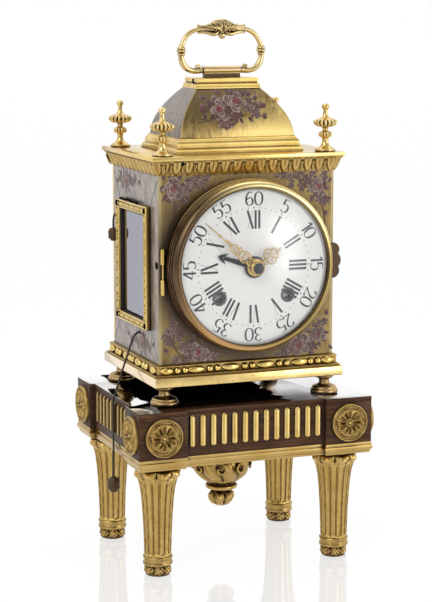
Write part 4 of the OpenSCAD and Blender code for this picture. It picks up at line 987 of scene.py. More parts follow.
def caseMouldings():
    for name, node, s, finish in (("domeMoulding", "dome_moulding", domeSizes, brightGilt),
                                  ("domeCap", "dome_cap", capSizes, brightGilt),
                                  ("baseMoulding", "base_moulding", baseSizes, groundGilt)):
        shape = boxMoulding(*s["half"], s["steps"], s.get("bore"))
        build(name, shape, finish, smooth=32, nodes=[node])
    s = baseSizes
    seeds = []
    for length in s["ovals"]:
        heap = Heap()
        t = np.linspace(0, 1, 15)
        r = s["radius"] * np.sin(np.clip(t, 0.004, 0.996) * math.pi) ** 0.72
        line = np.stack([r, (t - 0.5) * length], 1)
        lathe(heap, line, 14, lambda p: np.stack([p[:, 2], p[:, 1] * 0.85, p[:, 0]], 1),
              lambda a, r, z: (r * (1 - 0.1 * np.exp(-(np.cos(a) / 0.3) ** 2)), z))
        seeds.append(toObject("oval", heap, brightGilt, smooth=70))
    heap = Heap()
    for x in (-2, 2):
        t = np.linspace(0.02, math.pi - 0.02, 9)
        line = np.stack([np.sin(t), -np.cos(t)], 1) * s["bead"]
        lathe(heap, line, 14, at(x))
    seeds.append(toObject("beadPair", heap, brightGilt, smooth=70))
    made = []
    for side in range(4):
        for seed, first, gap, count in s["short" if side % 2 else "long"]:
            reach = s["half"][(side + 1) % 2] + s["out"]
            made.append(rowOn(side, seeds[seed], count, first, gap, reach, s["z"]))
    drop(*seeds)
    buildRows("baseOrnament", made, brightGilt, smooth=70)


caseMouldings()
footSizes = {"x": 42.7, "y": 33.2, "profile": [
    (0.3, 84.1), (6.3, 84.1), (6.3, 84.1), (6.9, 84.7), (6.9, 86.0), (6.3, 86.6), (6.3, 86.6),
    (6.1, 86.8), (6.05, 87.5), (5.2, 88.1), (5.2, 88.1), (3.6, 88.5), (2.8, 89.3),
    (2.6, 90.6), (2.8, 91.6), (4.2, 92.1), (4.6, 92.8), (4.4, 93.9), (4.4, 93.9),
    (0.3, 93.9)]}


def turnedFeet():
    line = smoothLine(footSizes["profile"], 4)
    heap = Heap()
    for spot in corners(footSizes["x"], footSizes["y"]):
        lathe(heap, line, 48, spot)
    build("clockFeet", heap, bronzeGilt, nodes=["clock_feet"])


turnedFeet()


# side windows
windowSizes = {"half": (19.1, 26.3), "middle": 2.15, "z": 150, "face": 48.2,
               "ribs": ((0.35, 0.42), (3.75, 0.5)),
               "reveal": ((-0.2, -5.0), (-0.2, -0.7), (1.0, -0.7), (1.0, -5.0)),
               "pane": ((-0.05, -5.2), (-0.05, -3.0), (-1.1, -2.0)),
               "across": (5, -16.2, 8.1), "up": (7, -24.0, 8.0)}
screwSizes = {
    "head": [(0.02, 0.95), (0.9, 0.9), (1.35, 0.7), (1.5, 0.4), (1.5, -0.3), (0.02, -0.3)],
    "pin": [(0.02, 0.25), (0.8, 0.2), (1.25, 0.05), (1.3, -0.2), (0.02, -0.2)],
    "pins": [(18, 3, 46.0, 152.9, (1.7, 1.5, 1), (32.0, 0, 0)),  # wall, scale and place
             (14, 3, 16.25, 240.2, (0.95, 0.95, 0.95), (3.0, 0, 0)),
             (14, 0, 38.2, 202.4, (0.8, 0.8, 0.8), (-35.0, 0, 0.6))],
    "crust": [(-18.5, 30.9, -0.4), (-15, 31.3, -0.7), (-11, 30.8, -0.3), (-6, 31.4, -0.6),
              (-1, 30.8, -0.5), (4, 31.3, -0.4), (9, 30.8, -0.8)]}


def windowPieces():
    s = windowSizes
    hy, hz = s["half"]
    face = s["face"]
    walls = {side: onFace(side, face, s["z"]) for side in (1, 3)}

    def outline(grow, deep):  # a rectangle round the opening
        return np.array([(u * (hy + grow), v * (hz + grow), deep)
                         for u, v in ((-1, -1), (1, -1), (1, 1), (-1, 1))])

    ribs, lining, panes = Heap(), Heap(), Heap()
    for side, wall in walls.items():
        for grow, thick in s["ribs"]:
            ring = outline(grow, 0)
            path = [a * (1 - t) + b * t for a, b in zip(ring, np.roll(ring, -1, 0))
                    for t in np.linspace(0.01, 0.99, 9)]
            tube(ribs, path, thick, 8, closed=True, put=onFace(side, face - 0.05, s["z"]))
        lining.add(wall(np.concatenate([outline(*step) for step in s["reveal"]])),
                   netFaces(4, 4, wrapRows=True, wrapCols=True))
        panes.add(wall(np.concatenate([outline(*step) for step in s["pane"]])),
                  netFaces(3, 4, wrapCols=True) + [(3, 2, 1, 0), (8, 9, 10, 11)])
    build("windowRibs", ribs, brightGilt, smooth=60)
    build("windowReveal", lining, shadeLining, slot="dark_bronze")
    egg = Heap()
    t = np.linspace(0, 1, 11)
    r = np.sin(np.clip(t, 0.01, 0.99) * math.pi) ** 0.8
    lathe(egg, np.stack([r, (t - 0.5) * 4.6], 1), 12,
          lambda p: np.stack([p[:, 2], p[:, 1] * 0.7, p[:, 0]], 1))
    t = t * 2.9 + 0.12
    for x in (-3.3, 3.3):
        lathe(egg, np.stack([0.75 * np.sin(t), -0.85 * np.cos(t)], 1), 10, at(x))
    seed = toObject("windowEgg", egg, brightGilt, smooth=70)
    made = []
    for side in (1, 3):
        turn, along, outward = wayOf(side)
        for z in (hz + s["middle"], -hz - s["middle"]):
            made.append(rowOn(side, seed, *s["across"], face - 0.1, s["z"] + z))
        for y in (hy + s["middle"], -hy - s["middle"]):
            start = along * y + outward * (face - 0.1)
            count, low, step = s["up"]
            made.append(rowMesh(seed, count, (start.x, start.y, s["z"] + low), (0, 0, step),
                                (0, math.pi / 2, turn)))
    drop(seed)
    buildRows("windowEggs", made, brightGilt, smooth=70)
    build("bevelledPanes", panes, windowPane, smooth=5, slot="glass", nodes=["window_glasses"])
    screws = Heap()
    for wall in walls.values():
        for u in (-hy - s["middle"], hy + s["middle"]):
            for v in (-hz - s["middle"], hz + s["middle"]):
                lathe(screws, screwSizes["head"], 18, lambda p: wall(p + [u, v, 0]))
    crust = smoothLine(screwSizes["crust"], 4)
    tube(screws, crust, 0.4 + 0.25 * np.sin(np.arange(len(crust)) * 2.3), 6, put=walls[3])
    for sides, side, reach, z, scale, place in screwSizes["pins"]:
        lathe(screws, screwSizes["pin"], sides,
              lambda p: onFace(side, reach, z)(p * scale + place))
    build("windowScrews", screws, pinBlack, slot="steel", nodes=["window_screws"])


windowPieces()
print("case mounts made")


# round door
bezelSizes = {"back": 35.25, "z": dialZ, "profile": [
    (39.45, 0.1), (42.7, 0.0), (42.75, 1.9), (42.75, 1.9), (42.1, 2.3), (42.05, 2.7),
    (42.55, 3.0), (42.65, 3.8), (42.4, 4.6), (42.4, 4.6), (41.75, 4.95), (41.75, 5.3),
    (42.2, 5.6), (42.3, 6.3), (42.1, 7.0), (42.1, 7.0), (41.4, 7.3), (41.4, 7.7), (41.85, 8.0),
    (42.0, 8.8), (41.7, 9.7), (41.0, 10.5), (40.2, 10.95), (39.3, 10.95), (38.6, 10.8),
    (38.2, 10.45), (38.25, 10.25), (38.25, 10.25), (39.3, 10.15), (39.45, 9.6), (39.45, 0.1)]}


def bezelPiece():
    heap = Heap()
    lathe(heap, smoothLine(bezelSizes["profile"], 3), 160,
          onFace(0, bezelSizes["back"], bezelSizes["z"]))
    build("bezelRing", heap, bezelGilt, smooth=40, body="bezel_door", nodes=["bezel_ring"])


bezelPiece()


# legs of the stand
legSizes = {
    "x": 47.5, "y": 35.9, "flutes": 14, "depth": 1.15, "lobes": 8, "lipDepth": 1.5,
    "toeLobes": 7, "toeDepth": 1.1,
    "shaft": [(6.7, 9.6), (6.75, 13), (6.9, 18), (7.1, 24), (7.45, 30), (7.85, 36), (8.35, 41),
              (9.0, 45), (9.7, 47.6), (10.3, 49.4)],
    "lip": [(9.6, 48.4), (10.3, 49.2), (11.1, 50.0), (11.6, 51.0), (11.5, 52.2), (10.8, 53.2),
            (9.9, 53.6), (9.4, 54.2), (9.3, 55.4)],
    "band": [(6.2, 5.2), (7.1, 5.4), (7.35, 6.0), (7.3, 6.5), (7.3, 6.5), (7.05, 6.7),
             (7.05, 8.6), (7.3, 8.8), (7.3, 8.8), (7.35, 9.3), (7.1, 9.8), (6.6, 10.0)],
    "toe": [(0.5, 0), (5.6, 0), (5.6, 0), (6.6, 0.6), (7.1, 1.8), (7.0, 3.2), (6.7, 4.4),
            (6.1, 5.3)]}


def ease(value, low, high):  # from 0 to 1, softly
    t = np.clip((value - low) / (high - low), 0, 1)
    return t * t * (3 - 2 * t)


def hump(value, middle, width, power=2):
    return np.exp(-(np.abs(value - middle) / width) ** power)


def legPieces():
    s = legSizes

    def channels(a, r, z):  # concave flutes, and ridges with a fine line on each; the flutes' edges and the lines get a darker tone as painted shade
        wave = np.abs(np.sin(a * s["flutes"] / 2))
        t = np.clip((wave - 0.3) / 0.7, 0, 1)
        reach = ease(z, 10.4, 11.6) * (1 - 0.45 * ease(z, 46, 49))
        cut = np.sqrt(1 - (1 - t) ** 2) * s["depth"] * r / 10 + 0.28 * hump(wave, 0, 0.1)
        dark = 0.9 * hump(wave, 0.36, 0.08) + 0.5 * hump(wave, 0, 0.07)
        return r - reach * cut, z, 1 - reach * dark * (0.75 + 0.25 * np.sin(z + a * 5))

    def dull(a, r, z):
        return r, z, 0.62 + 0.08 * np.sin(a * 5)

    def curls(a, r, z):  # leaf ends that curl over, with a knob at each
        lobe = np.abs(np.cos(a * s["lobes"] / 2))
        reach = ease(z, 48.6, 49.8) * (1 - ease(z, 53.2, 54.0))
        knob = 0.36 * hump(lobe, 1, 0.12) * hump(z, 51.2, 1.0)
        cut = (1 - lobe ** 0.6) * s["lipDepth"] + 0.4 * hump(lobe, 0.75, 0.08)
        return r - reach * cut + knob, z + reach * (1 - lobe) * 1.2

    def leaves(a, r, z):
        lobe = np.abs(np.cos(a * s["toeLobes"] / 2 + 0.25 * np.sin(z * 1.6))) ** 0.6
        fine = 0.21 * np.cos(a * s["toeLobes"] * 3 + z * 2.2)
        dents = 0.5 * np.clip(np.sin(a * 14 + 1.0) * np.sin(z * 2.6 + a * 2), 0, 1)
        reach = ease(z, -0.2, 0.9) * (1 - ease(z, 4.8, 5.3))
        return r - reach * ((1 - lobe) * s["toeDepth"] + 0.3 + fine + dents), z

    shafts, lips, toes = Heap(), Heap(), Heap()
    for spot in corners(s["x"], s["y"]):
        lathe(shafts, smoothLine(s["shaft"], 6), 336, spot, channels)
        lathe(shafts, smoothLine(s["band"], 3), 48, spot, dull)
        # the last numbers give how deep a cut gets the darkest tone, painted shade in the cuts
        lathe(lips, smoothLine(s["lip"], 5), 160, spot, curls, 2.0)
        lathe(toes, smoothLine(s["toe"], 5), 140, spot, leaves, 2.6)
    for name, heap, finish, smooth, node in (("legShafts", shafts, carvedGilt, 50, "leg_shafts"),
                                             ("legLips", lips, carvedGilt, 50, "leg_capitals"),
                                             ("legToes", toes, chasedGilt, 60, "leg_toes")):
        build(name, heap, finish, smooth, toned=True, nodes=[node])


legPieces()
print("legs made")


# rosettes on the corner blocks: how far out and how far across on even and odd walls
rosetteSizes = {"radius": 9.75, "petals": 6, "z": 71.6, "net": (40, 150),
                "places": ((49.8, 49.05), (61.4, 39.3))}


def rosettePieces():
    s = rosetteSizes
    rows, cols = s["net"]
    r = np.concatenate([[0.02], np.linspace(0.35, s["radius"], rows)])
    a = np.arange(cols) * 2 * math.pi / cols
    radius, angle = np.meshgrid(r, a, indexing="ij")
    twist = (angle + 0.05 * np.sin(radius * 1.1)) * s["petals"] / 2
    petal, between = np.abs(np.cos(twist)), np.abs(np.sin(twist))
    leaf = hump(radius, 4.4, 2.6, 4) * np.clip(petal * 1.5, 0, 1)
    height = 0.7 + leaf * (1.35 + 0.55 * hump(petal, 0.86, 0.06))  # a leaf and its side ribs
    height -= 0.7 * hump(between, 0, 0.13) * hump(radius, 4.2, 1.8)
    height += hump(radius, 6.9, 0.8) * petal ** 3 * 1.5  # the tip curls up
    height += hump(radius, 6.4, 0.9) * between ** 8 * 1.3
    height += hump(radius, 3.4, 0.8) * between ** 10 * 0.5
    height += 0.2 * np.sin(angle * 30 + radius * 2.4) * hump(radius, 6.2, 1.6)
    height += 1.5 * hump(radius, 0, 1.2, 4) - 0.5 * hump(radius, 1.7, 0.4)
    height += 0.35 * np.sin(angle * 7 + 1) * hump(radius, 7.6, 0.7)
    height -= hump(radius, 7.3, 0.35) * hump(between, 0.3, 0.1) * 1.3
    rim = np.clip(1 - ((radius - 9.1) / 0.6) ** 2, 0, None) ** 0.5 * 2.0
    slope = np.clip((s["radius"] - radius) / 0.5, 0, 1)
    height = np.maximum(np.maximum(height, 1.25) * slope ** 0.5, rim)
    height = np.where(radius > 9.7, -0.2, np.minimum(height, 3.2))
    # lower parts get a darker tone: painted shade in the hollows
    tone = np.clip((height - 0.2) / 1.7, 0.3, 1).reshape(-1, 1) * [1, 1, 1]
    shape = np.stack([radius * np.cos(angle), radius * np.sin(angle), height], 2)
    heap = Heap()
    for side in (0, 2, 1, 3):
        reach, across = s["places"][side % 2]
        for sign in (-1, 1):
            points = shape.reshape(-1, 3) + [sign * across, 0, 0]
            heap.add(onFace(side, reach, s["z"])(points),
                     netFaces(rows + 1, cols, wrapCols=True), tone)
    build("rosettes", heap, chasedGilt, smooth=70, toned=True, nodes=["rosettes"])


rosettePieces()


# pendant under the stand
pendantSizes = {"bud": 3, "leaves": 4, "scrolls": 8, "scroll": (3.7, 43.4), "profile": [
    (0.2, 21.2), (2.6, 21.7), (5.3, 23.4), (6.9, 26.2), (6.3, 28.4), (4.3, 29.7), (4.8, 30.3),
    (7.6, 30.9), (8.2, 31.9), (8.0, 32.8), (6.6, 33.6), (9.1, 35.2), (12.2, 37.6),
    (14.2, 40.2), (15.2, 43.2), (15.1, 46.4), (13.0, 48.8), (10.8, 50.6), (9.7, 53.8),
    (9.6, 60.7)]}


def pendantPiece():
    s = pendantSizes
    line = smoothLine(s["profile"], 5)

    def carve(a, r, z):
        bud = np.abs(np.cos(a * s["bud"])) ** 0.8
        budReach = ease(z, 21.4, 23) * (1 - ease(z, 28.4, 29.8))
        bowl = np.abs(np.cos(a * s["leaves"] + np.sin((z - 40) * 0.35) * 0.5)) ** 0.7
        bowlReach = ease(z, 34.5, 37) * (1 - ease(z, 48.5, 50.5))
        ribs = 0.28 * np.sin(a * 32 + z * 0.9)
        return r - budReach * ((1 - bud) * 1.7 + 0.3 * np.cos(a * 18 + z * 1.5)) \
            - bowlReach * ((1 - bowl) * 1.9 + 0.3 - ribs), z

    heap = Heap()
    # the last number gives how deep a cut gets the darkest tone, painted shade in the cuts
    lathe(heap, line, 160, at(), carve, 3.2)
    turns = np.linspace(0.15, 1, 34)
    size, level = s["scroll"]
    for k in range(s["scrolls"]):  # scrolls that mirror each other round the bowl
        u = (1 if k % 2 else -1) * size * turns * np.cos(turns * 2.4 * math.pi + 0.6)
        z = level + size * turns * np.sin(turns * 2.4 * math.pi + 0.6)
        around = (k + 0.5) * 2 * math.pi / s["scrolls"] + u / 15.0
        r = np.interp(z, line[:, 1], line[:, 0]) + 0.1
        tube(heap, np.stack([r * np.cos(around), r * np.sin(around), z], 1),
             0.45 + 0.25 * turns, 8)
    build("pendant", heap, chasedGilt, smooth=60, toned=True, nodes=["pendant"])


pendantPiece()
print("stand mounts made")


# cornice with pointed leaves
corniceSizes = {"low": 196.6, "high": 203.8, "bottom": (46.3, 35.5), "top": (49.4, 38.6),
                "bore": (42.0, 31.2), "pitch": 6.2, "front": 15, "side": 11,
                "leaf": (0, 2.35, 6.4, -0.35, 1.05), "dart": (3.1, 0.85, 5.2, 0.1, 0.6)}


def cornicePieces():
    s = corniceSizes
    low, high, pitch = s["low"], s["high"], s["pitch"]
    lean = (s["top"][0] - s["bottom"][0]) / (high - low)
    steps = [(0, low), (2.6, high - 0.9), (3.2, high - 0.8), (3.2, high)]
    build("corniceGround", boxMoulding(*s["bottom"], steps, s["bore"]), groundGilt, smooth=30,
          nodes=["cornice"])

    def leaf(heap, x, half, top, tip, full):
        v, j = np.meshgrid(np.linspace(0, 1, 13), np.linspace(-1, 1, 11), indexing="ij")
        z = tip + (top - tip) * v  # from the tip upwards
        width = half * np.clip(np.sin(np.minimum(v * 1.35, 1) * math.pi / 2), 0.02, 1) ** 0.75
        out = full * (0.25 + 0.75 * np.sqrt(np.clip(1 - np.abs(j) ** 2.4, 0, 1)))
        out -= full * 0.62 * hump(j, 0, 0.2) * np.clip(v * 2.2 - 0.35, 0, 1)
        out = np.where(np.abs(j) > 0.99, -0.15, out * np.clip(v * 5, 0.3, 1))
        heap.add(np.stack([x + j * width, -(lean * z) - out, z], 2).reshape(-1, 3),
                 netFaces(13, 11))

    seed = Heap()
    leaf(seed, *s["leaf"])
    leaf(seed, *s["dart"])
    piece = toObject("corniceLeaf", seed, castGilt, weld=False, smooth=60)
    made = []
    for side in range(4):
        count = s["side" if side % 2 else "front"]
        reach = s["bottom"][(side + 1) % 2]
        made.append(rowOn(side, piece, count, (1 - count) / 2 * pitch, pitch, reach, low))
        turn, along, outward = wayOf(side)
        corner = along * (s["bottom"][side % 2] - 0.6) + outward * (reach - 0.6)
        made.append(rowMesh(piece, 1, (corner.x, corner.y, low), (1, 0, 0),
                            (0, 0, turn + math.pi / 4)))
    drop(piece)
    buildRows("corniceLeaves", made, castGilt, smooth=60)


cornicePieces()


# corner finials
finialSizes = {"base": 205.8, "x": 42.8, "y": 32.0, "profile": [
    (0.3, 0), (4.9, 0), (4.9, 0), (5.0, 0.6), (4.9, 1.2), (4.9, 1.2), (3.6, 1.9), (2.4, 2.7),
    (1.7, 4.2), (1.55, 5.6), (1.8, 6.6), (2.9, 7.2), (3.5, 8.4), (2.9, 9.6), (1.6, 10.1),
    (1.4, 11.0), (1.9, 11.9), (4.0, 12.3), (5.4, 13.1), (5.95, 14.2), (5.5, 15.3), (4.1, 15.9),
    (4.1, 15.9), (3.3, 16.3), (1.9, 16.8), (1.3, 18.0), (1.1, 19.6), (1.2, 20.7), (1.75, 21.4),
    (1.8, 22.5), (1.2, 23.3), (0.1, 23.6)]}


def finialPieces():
    s = finialSizes

    def lobes(a, r, z):
        big = ease(z, 12.0, 12.8) * (1 - ease(z, 15.4, 15.9))
        small = ease(z, 7.0, 7.6) * (1 - ease(z, 9.2, 9.8))
        return r - big * 1.25 * (1 - np.abs(np.cos(a * 8)) ** 0.8) \
            - small * 0.7 * (1 - np.abs(np.cos(a * 6)) ** 0.8), z + s["base"]

    heap = Heap()
    for spot in corners(s["x"], s["y"]):
        # the last number gives how deep a cut gets the darkest tone, painted shade in the cuts
        lathe(heap, smoothLine(s["profile"], 4), 128, spot, lobes, 2.2)
    build("finials", heap, finialGilt, smooth=60, toned=True, nodes=["finials"])


finialPieces()
print("cornice and finials made")


# bail handle: half of it, towards the right
bailSizes = {
    "arm": [(10.4, 0, 245.2), (12.4, 0, 244.9), (15.2, 0, 245.0), (18.4, 0, 246.2),
            (20.8, 0, 249.2), (21.5, 0, 253.0), (21.4, 0, 255.2), (20.8, 0, 258.0),
            (18.9, 0, 261.6), (16.2, 0, 264.0), (13.2, 0, 265.2), (10.4, 0, 265.6)],
    "collar": [(1.2, -2.4), (1.9, -1.8), (1.9, -1.1), (1.5, -0.8), (2.3, -0.2), (2.4, 0.5),
               (1.9, 0.9), (2.2, 1.4), (1.9, 2.1), (1.3, 2.6), (1.1, 3.0)],
    "leafEnd": [(7.4, 0, 266.2), (9.2, 0, 266.2), (11.0, 0, 266.3), (12.2, 0, 266.9),
                (11.9, 0, 267.6)],
    "under": [(1.6, -0.6, 264.6), (3.2, -1.0, 263.2), (5.2, -0.9, 263.0), (7.4, -0.6, 263.7),
              (9.6, -0.3, 264.0), (11.6, 0, 263.9), (12.4, 0, 263.3)],
    "drop": [(0.1, -3.4), (1.2, -3.1), (1.9, -2.0), (1.8, -1.0), (1.3, -0.2), (2.0, 1.0),
             (2.5, 2.4), (2.2, 4.0), (1.3, 5.4), (0.3, 6.0)],
    "collarAt": (21.3, 254.6), "grip": 11.4, "gripZ": 265.5, "gripNet": (61, 84), "ribs": 4}


def bailPiece():
    s = bailSizes
    heap = Heap()
    for sign in (-1, 1):
        def limb(line, thick, sides=8):
            tube(heap, np.array(line) * [sign, 1, 1], thick, sides)

        def curl(x, y, z, size, shrink, turn, thick, taper):
            size = size * (1 - shrink * turn)
            limb(np.stack([x + size * np.cos(turn), 0 * turn + y, z + size * np.sin(turn)], 1),
                 thick - taper * turn)

        arm = smoothLine(s["arm"], 5)
        z = arm[:, 2]
        limb(arm, 1.3 + 0.35 * hump(z, 248.5, 3.4) - 0.1 * ease(z, 256, 262), 14)
        x, z = s["collarAt"]
        lathe(heap, smoothLine(s["collar"], 3), 20, at(sign * x, 0, z))
        curl(12.3, 0, 246.3, 1.35, 0.12, np.linspace(0.2, 4.4, 14), 0.95, 0.1)
        leafEnd = smoothLine(s["leafEnd"], 4)
        limb(leafEnd, np.linspace(1.5, 0.6, len(leafEnd)))
        under = smoothLine(s["under"], 4)
        limb(under, np.interp(np.arange(len(under)), [0, 8, 16, 24], [1.0, 1.1, 0.9, 0.45]))
        curl(4.1, -1.9, 265.1, 1.25, 0.13, np.linspace(0.3, 4.6, 14), 0.62, 0.07)
    rows, cols = s["gripNet"]
    x = np.linspace(-s["grip"], s["grip"], rows)
    fat = hump(x, 0, 6.4, 2.6)
    a = np.arange(cols) * 2 * math.pi / cols
    xx, aa = np.meshgrid(x, a, indexing="ij")
    height = (1.35 + 2.1 * fat)[:, None]
    depth = (1.25 + 1.25 * fat)[:, None]
    centre = (s["gripZ"] + 1.65 * fat)[:, None]
    fan = np.abs(np.cos(aa * 4 + np.sign(xx) * np.abs(xx) ** 0.8 * 0.85))
    carve = 1 - 0.2 * (1 - fan ** 0.7) * np.clip(fat * 2 + 0.3, 0, 1)[:, None]
    points = np.stack([xx, depth * carve * np.sin(aa), centre + height * carve * np.cos(aa)], 2)
    # a darker tone between the fan's ribs: painted shade
    tone = np.clip(0.45 + fan, 0, 1).reshape(-1, 1) * [1, 1, 1]
    heap.add(points.reshape(-1, 3), netFaces(rows, cols, wrapCols=True), tone)
    for row in (0, rows - 1):
        heap.add([[x[row], 0, s["gripZ"]]] + points[row].tolist(),
                 [(0, 1 + j, 1 + (j + 1) % cols) for j in range(cols)])
    for sign in (-1, 1):  # raised leaf ribs that fan from the drop
        for k in range(s["ribs"]):
            reach = 2.6 + k * 2.7
            rib = smoothLine([(0.8 + k * 0.4, -2.5, 264.6 + 0.3 * k),
                              (reach * 0.5, -2.9, 266.6 - 0.1 * k),
                              (reach * 0.85, -2.3, 268.4 - 0.45 * k),
                              (reach, -1.5, 269.5 - 0.75 * k)], 5)
            tube(heap, rib * [sign, 1, 1], np.linspace(0.6, 0.28, len(rib)), 6)
    # the last number gives how deep a cut gets the darkest tone, painted shade in the cuts
    lathe(heap, smoothLine(s["drop"], 4), 72, lambda p: p * [1, 0.8, 1] + [0, -0.9, 264.0],
          lambda a, r, z: (r - 0.4 * (1 - np.abs(np.cos(a * 3))) * ease(z, -0.6, 0.6), z), 0.4)
    build("bailHandle", heap, handleGilt, smooth=60, toned=True, body="bail",
          nodes=["handle_bail"])


bailPiece()
print("bail made")


# dial printing
dialSizes = {"z": dialZ, "face": 43.84, "arabic": 33.4, "arabicHeight": 6.5,
             "romanLow": 18.7, "romanHigh": 27.7, "romanUnit": 3.1, "dots": 28.95,
             "holes": (17.95, 137.0), "ringY": 43.8, "marks": ((0.27, 60), (0.4, 12)),
             "lining": [(3.4, 0.5), (3.4, -0.05), (3.7, -0.1), (3.65, -0.34), (3.3, -0.46),
                        (2.95, -0.4), (2.75, -0.1), (2.7, 0.5), (2.68, 0.9), (2.1, 1.0),
                        (2.1, 1.3)]}
digitStrokes = {  # pen lines in a box 1 high
    "0": [[(0.3, 1), (0.08, 0.86), (0, 0.5), (0.08, 0.14), (0.3, 0), (0.52, 0.14),
           (0.6, 0.5), (0.52, 0.86), (0.3, 1)]],
    "1": [[(0.02, 0.78), (0.24, 0.99)], [(0.26, 1), (0.26, 0)]],
    "2": [[(0.03, 0.76), (0.12, 0.95), (0.3, 1), (0.5, 0.9), (0.54, 0.7), (0.42, 0.45),
           (0.2, 0.2), (0.0, 0.03)], [(0, 0.02), (0.3, 0.04), (0.58, 0.02), (0.6, 0.16)]],
    "3": [[(0.03, 0.86), (0.24, 1), (0.46, 0.92), (0.5, 0.74), (0.38, 0.58), (0.2, 0.54)],
          [(0.2, 0.54), (0.42, 0.5), (0.55, 0.3), (0.46, 0.08), (0.22, 0), (0.02, 0.13)]],
    "4": [[(0.4, 1), (0.0, 0.3)], [(0, 0.29), (0.62, 0.29)], [(0.42, 1), (0.42, 0)]],
    "5": [[(0.1, 1), (0.06, 0.56)], [(0.1, 0.98), (0.5, 0.99)],
          [(0.06, 0.56), (0.28, 0.64), (0.48, 0.54), (0.55, 0.32), (0.45, 0.08), (0.22, 0),
           (0.02, 0.12)]],
    "6": [[(0.5, 0.93), (0.3, 1), (0.1, 0.8), (0.02, 0.42), (0.1, 0.1), (0.3, 0),
           (0.5, 0.1), (0.55, 0.32), (0.46, 0.52), (0.28, 0.58), (0.08, 0.44)]]}
romanBars = {"I": (0.62, [((0.31, 0), (0.31, 1), 1)]),
             "V": (1.1, [((0.1, 1), (0.55, 0), 1), ((0.98, 1), (0.57, 0), 0.13)]),
             "X": (1.15, [((0.1, 1), (1.02, 0), 1), ((1.0, 1), (0.12, 0), 0.13)])}
romanHours = ["XII", "I", "II", "III", "IIII", "V", "VI", "VII", "VIII", "IX", "X", "XI"]


def dialPrint():
    heap = Heap()

    def place(points, angle):  # x to the right and z outwards at 12, turned clockwise
        c, s = math.cos(angle), math.sin(angle)
        x, z = points[:, 0], points[:, 1]
        return np.stack([x * c + z * s, np.full(len(x), -dialSizes["face"]),
                         dialSizes["z"] - x * s + z * c], 1)

    def stroke(line, angle, wide, thin):
        line = np.asarray(line, float)
        way = np.gradient(line, axis=0)
        way /= np.maximum(np.linalg.norm(way, axis=1), 1e-9)[:, None]
        normal = np.stack([-way[:, 1], way[:, 0]], 1)
        half = (thin + (wide - thin) * np.abs(way[:, 1]) ** 2)[:, None] / 2
        both = np.concatenate([line + normal * half, line - normal * half])
        n = len(line)
        heap.add(place(both, angle), [(i, i + 1, n + i + 1, n + i) for i in range(n - 1)])

    high = dialSizes["arabicHeight"]
    tall = dialSizes["romanHigh"] - dialSizes["romanLow"]
    unit = dialSizes["romanUnit"]
    for k in range(12):
        angle = k * math.pi / 6
        word = str(k * 5 or 60)
        width = sum(0.3 if c == "1" else 0.6 for c in word) * high + 0.13 * high * (len(word) - 1)
        x = -width / 2
        for digit in word:
            for pen in digitStrokes[digit]:
                fine = smoothLine(pen, 5) if len(pen) > 3 else np.array(pen, float)
                fine = fine * high + [x, dialSizes["arabic"] - high / 2]
                stroke(fine, angle, 1.0, 0.34)
            x += ((0.3 if digit == "1" else 0.6) + 0.13) * high
        letters = romanHours[k]
        width = sum(romanBars[c][0] for c in letters) * unit
        x = -width / 2
        for letter in letters:
            for a, b, weight in romanBars[letter][1]:
                line = [(x + p[0] * unit, dialSizes["romanLow"] + p[1] * tall) for p in (a, b)]
                stroke(line, angle, 1.12 * weight, 1.1 * weight)
            x += romanBars[letter][0] * unit
        if set(letters) == {"I"}:
            for level in (dialSizes["romanLow"], dialSizes["romanHigh"]):
                serif = width / 2 - 0.15
                stroke([(-serif, level), (serif, level)], angle, 0.2, 0.2)
    numerals = toObject("dialPrinting", heap, dialInk, weld=False, turnOut=False)
    with editing(numerals.data) as work:
        back = [face for face in work.faces if face.normal.y > 0]
        bmesh.ops.reverse_faces(work, faces=back)
    settle(numerals)
    made = []
    for size, count in dialSizes["marks"]:
        mark = Heap()
        t = np.arange(8) * math.pi / 4
        mark.add(np.stack([size * 1.25 * np.cos(t), size * 0.8 * np.sin(t), 0 * t], 1),
                 [tuple(range(8))])
        seed = toObject("minuteMark", mark, dialInk, weld=False, turnOut=False)
        made.append(ringMesh(seed, count, dialSizes["dots"],
                             (0, -dialSizes["face"] - size * 0.02, dialSizes["z"]),
                             (math.pi / 2, 0, 0)))
        drop(seed)
    buildRows("minuteMarks", made, dialInk)
    rings = Heap()
    lining = smoothLine(dialSizes["lining"], 3)
    across, z = dialSizes["holes"]
    for x in (-across, across):
        lathe(rings, lining, 40,
              lambda p: np.stack([p[:, 0] + x, p[:, 2] - dialSizes["ringY"], p[:, 1] + z], 1))
    build("windingHoleRings", rings, holeSteel, slot="steel")


dialPrint()
print("dial printed")


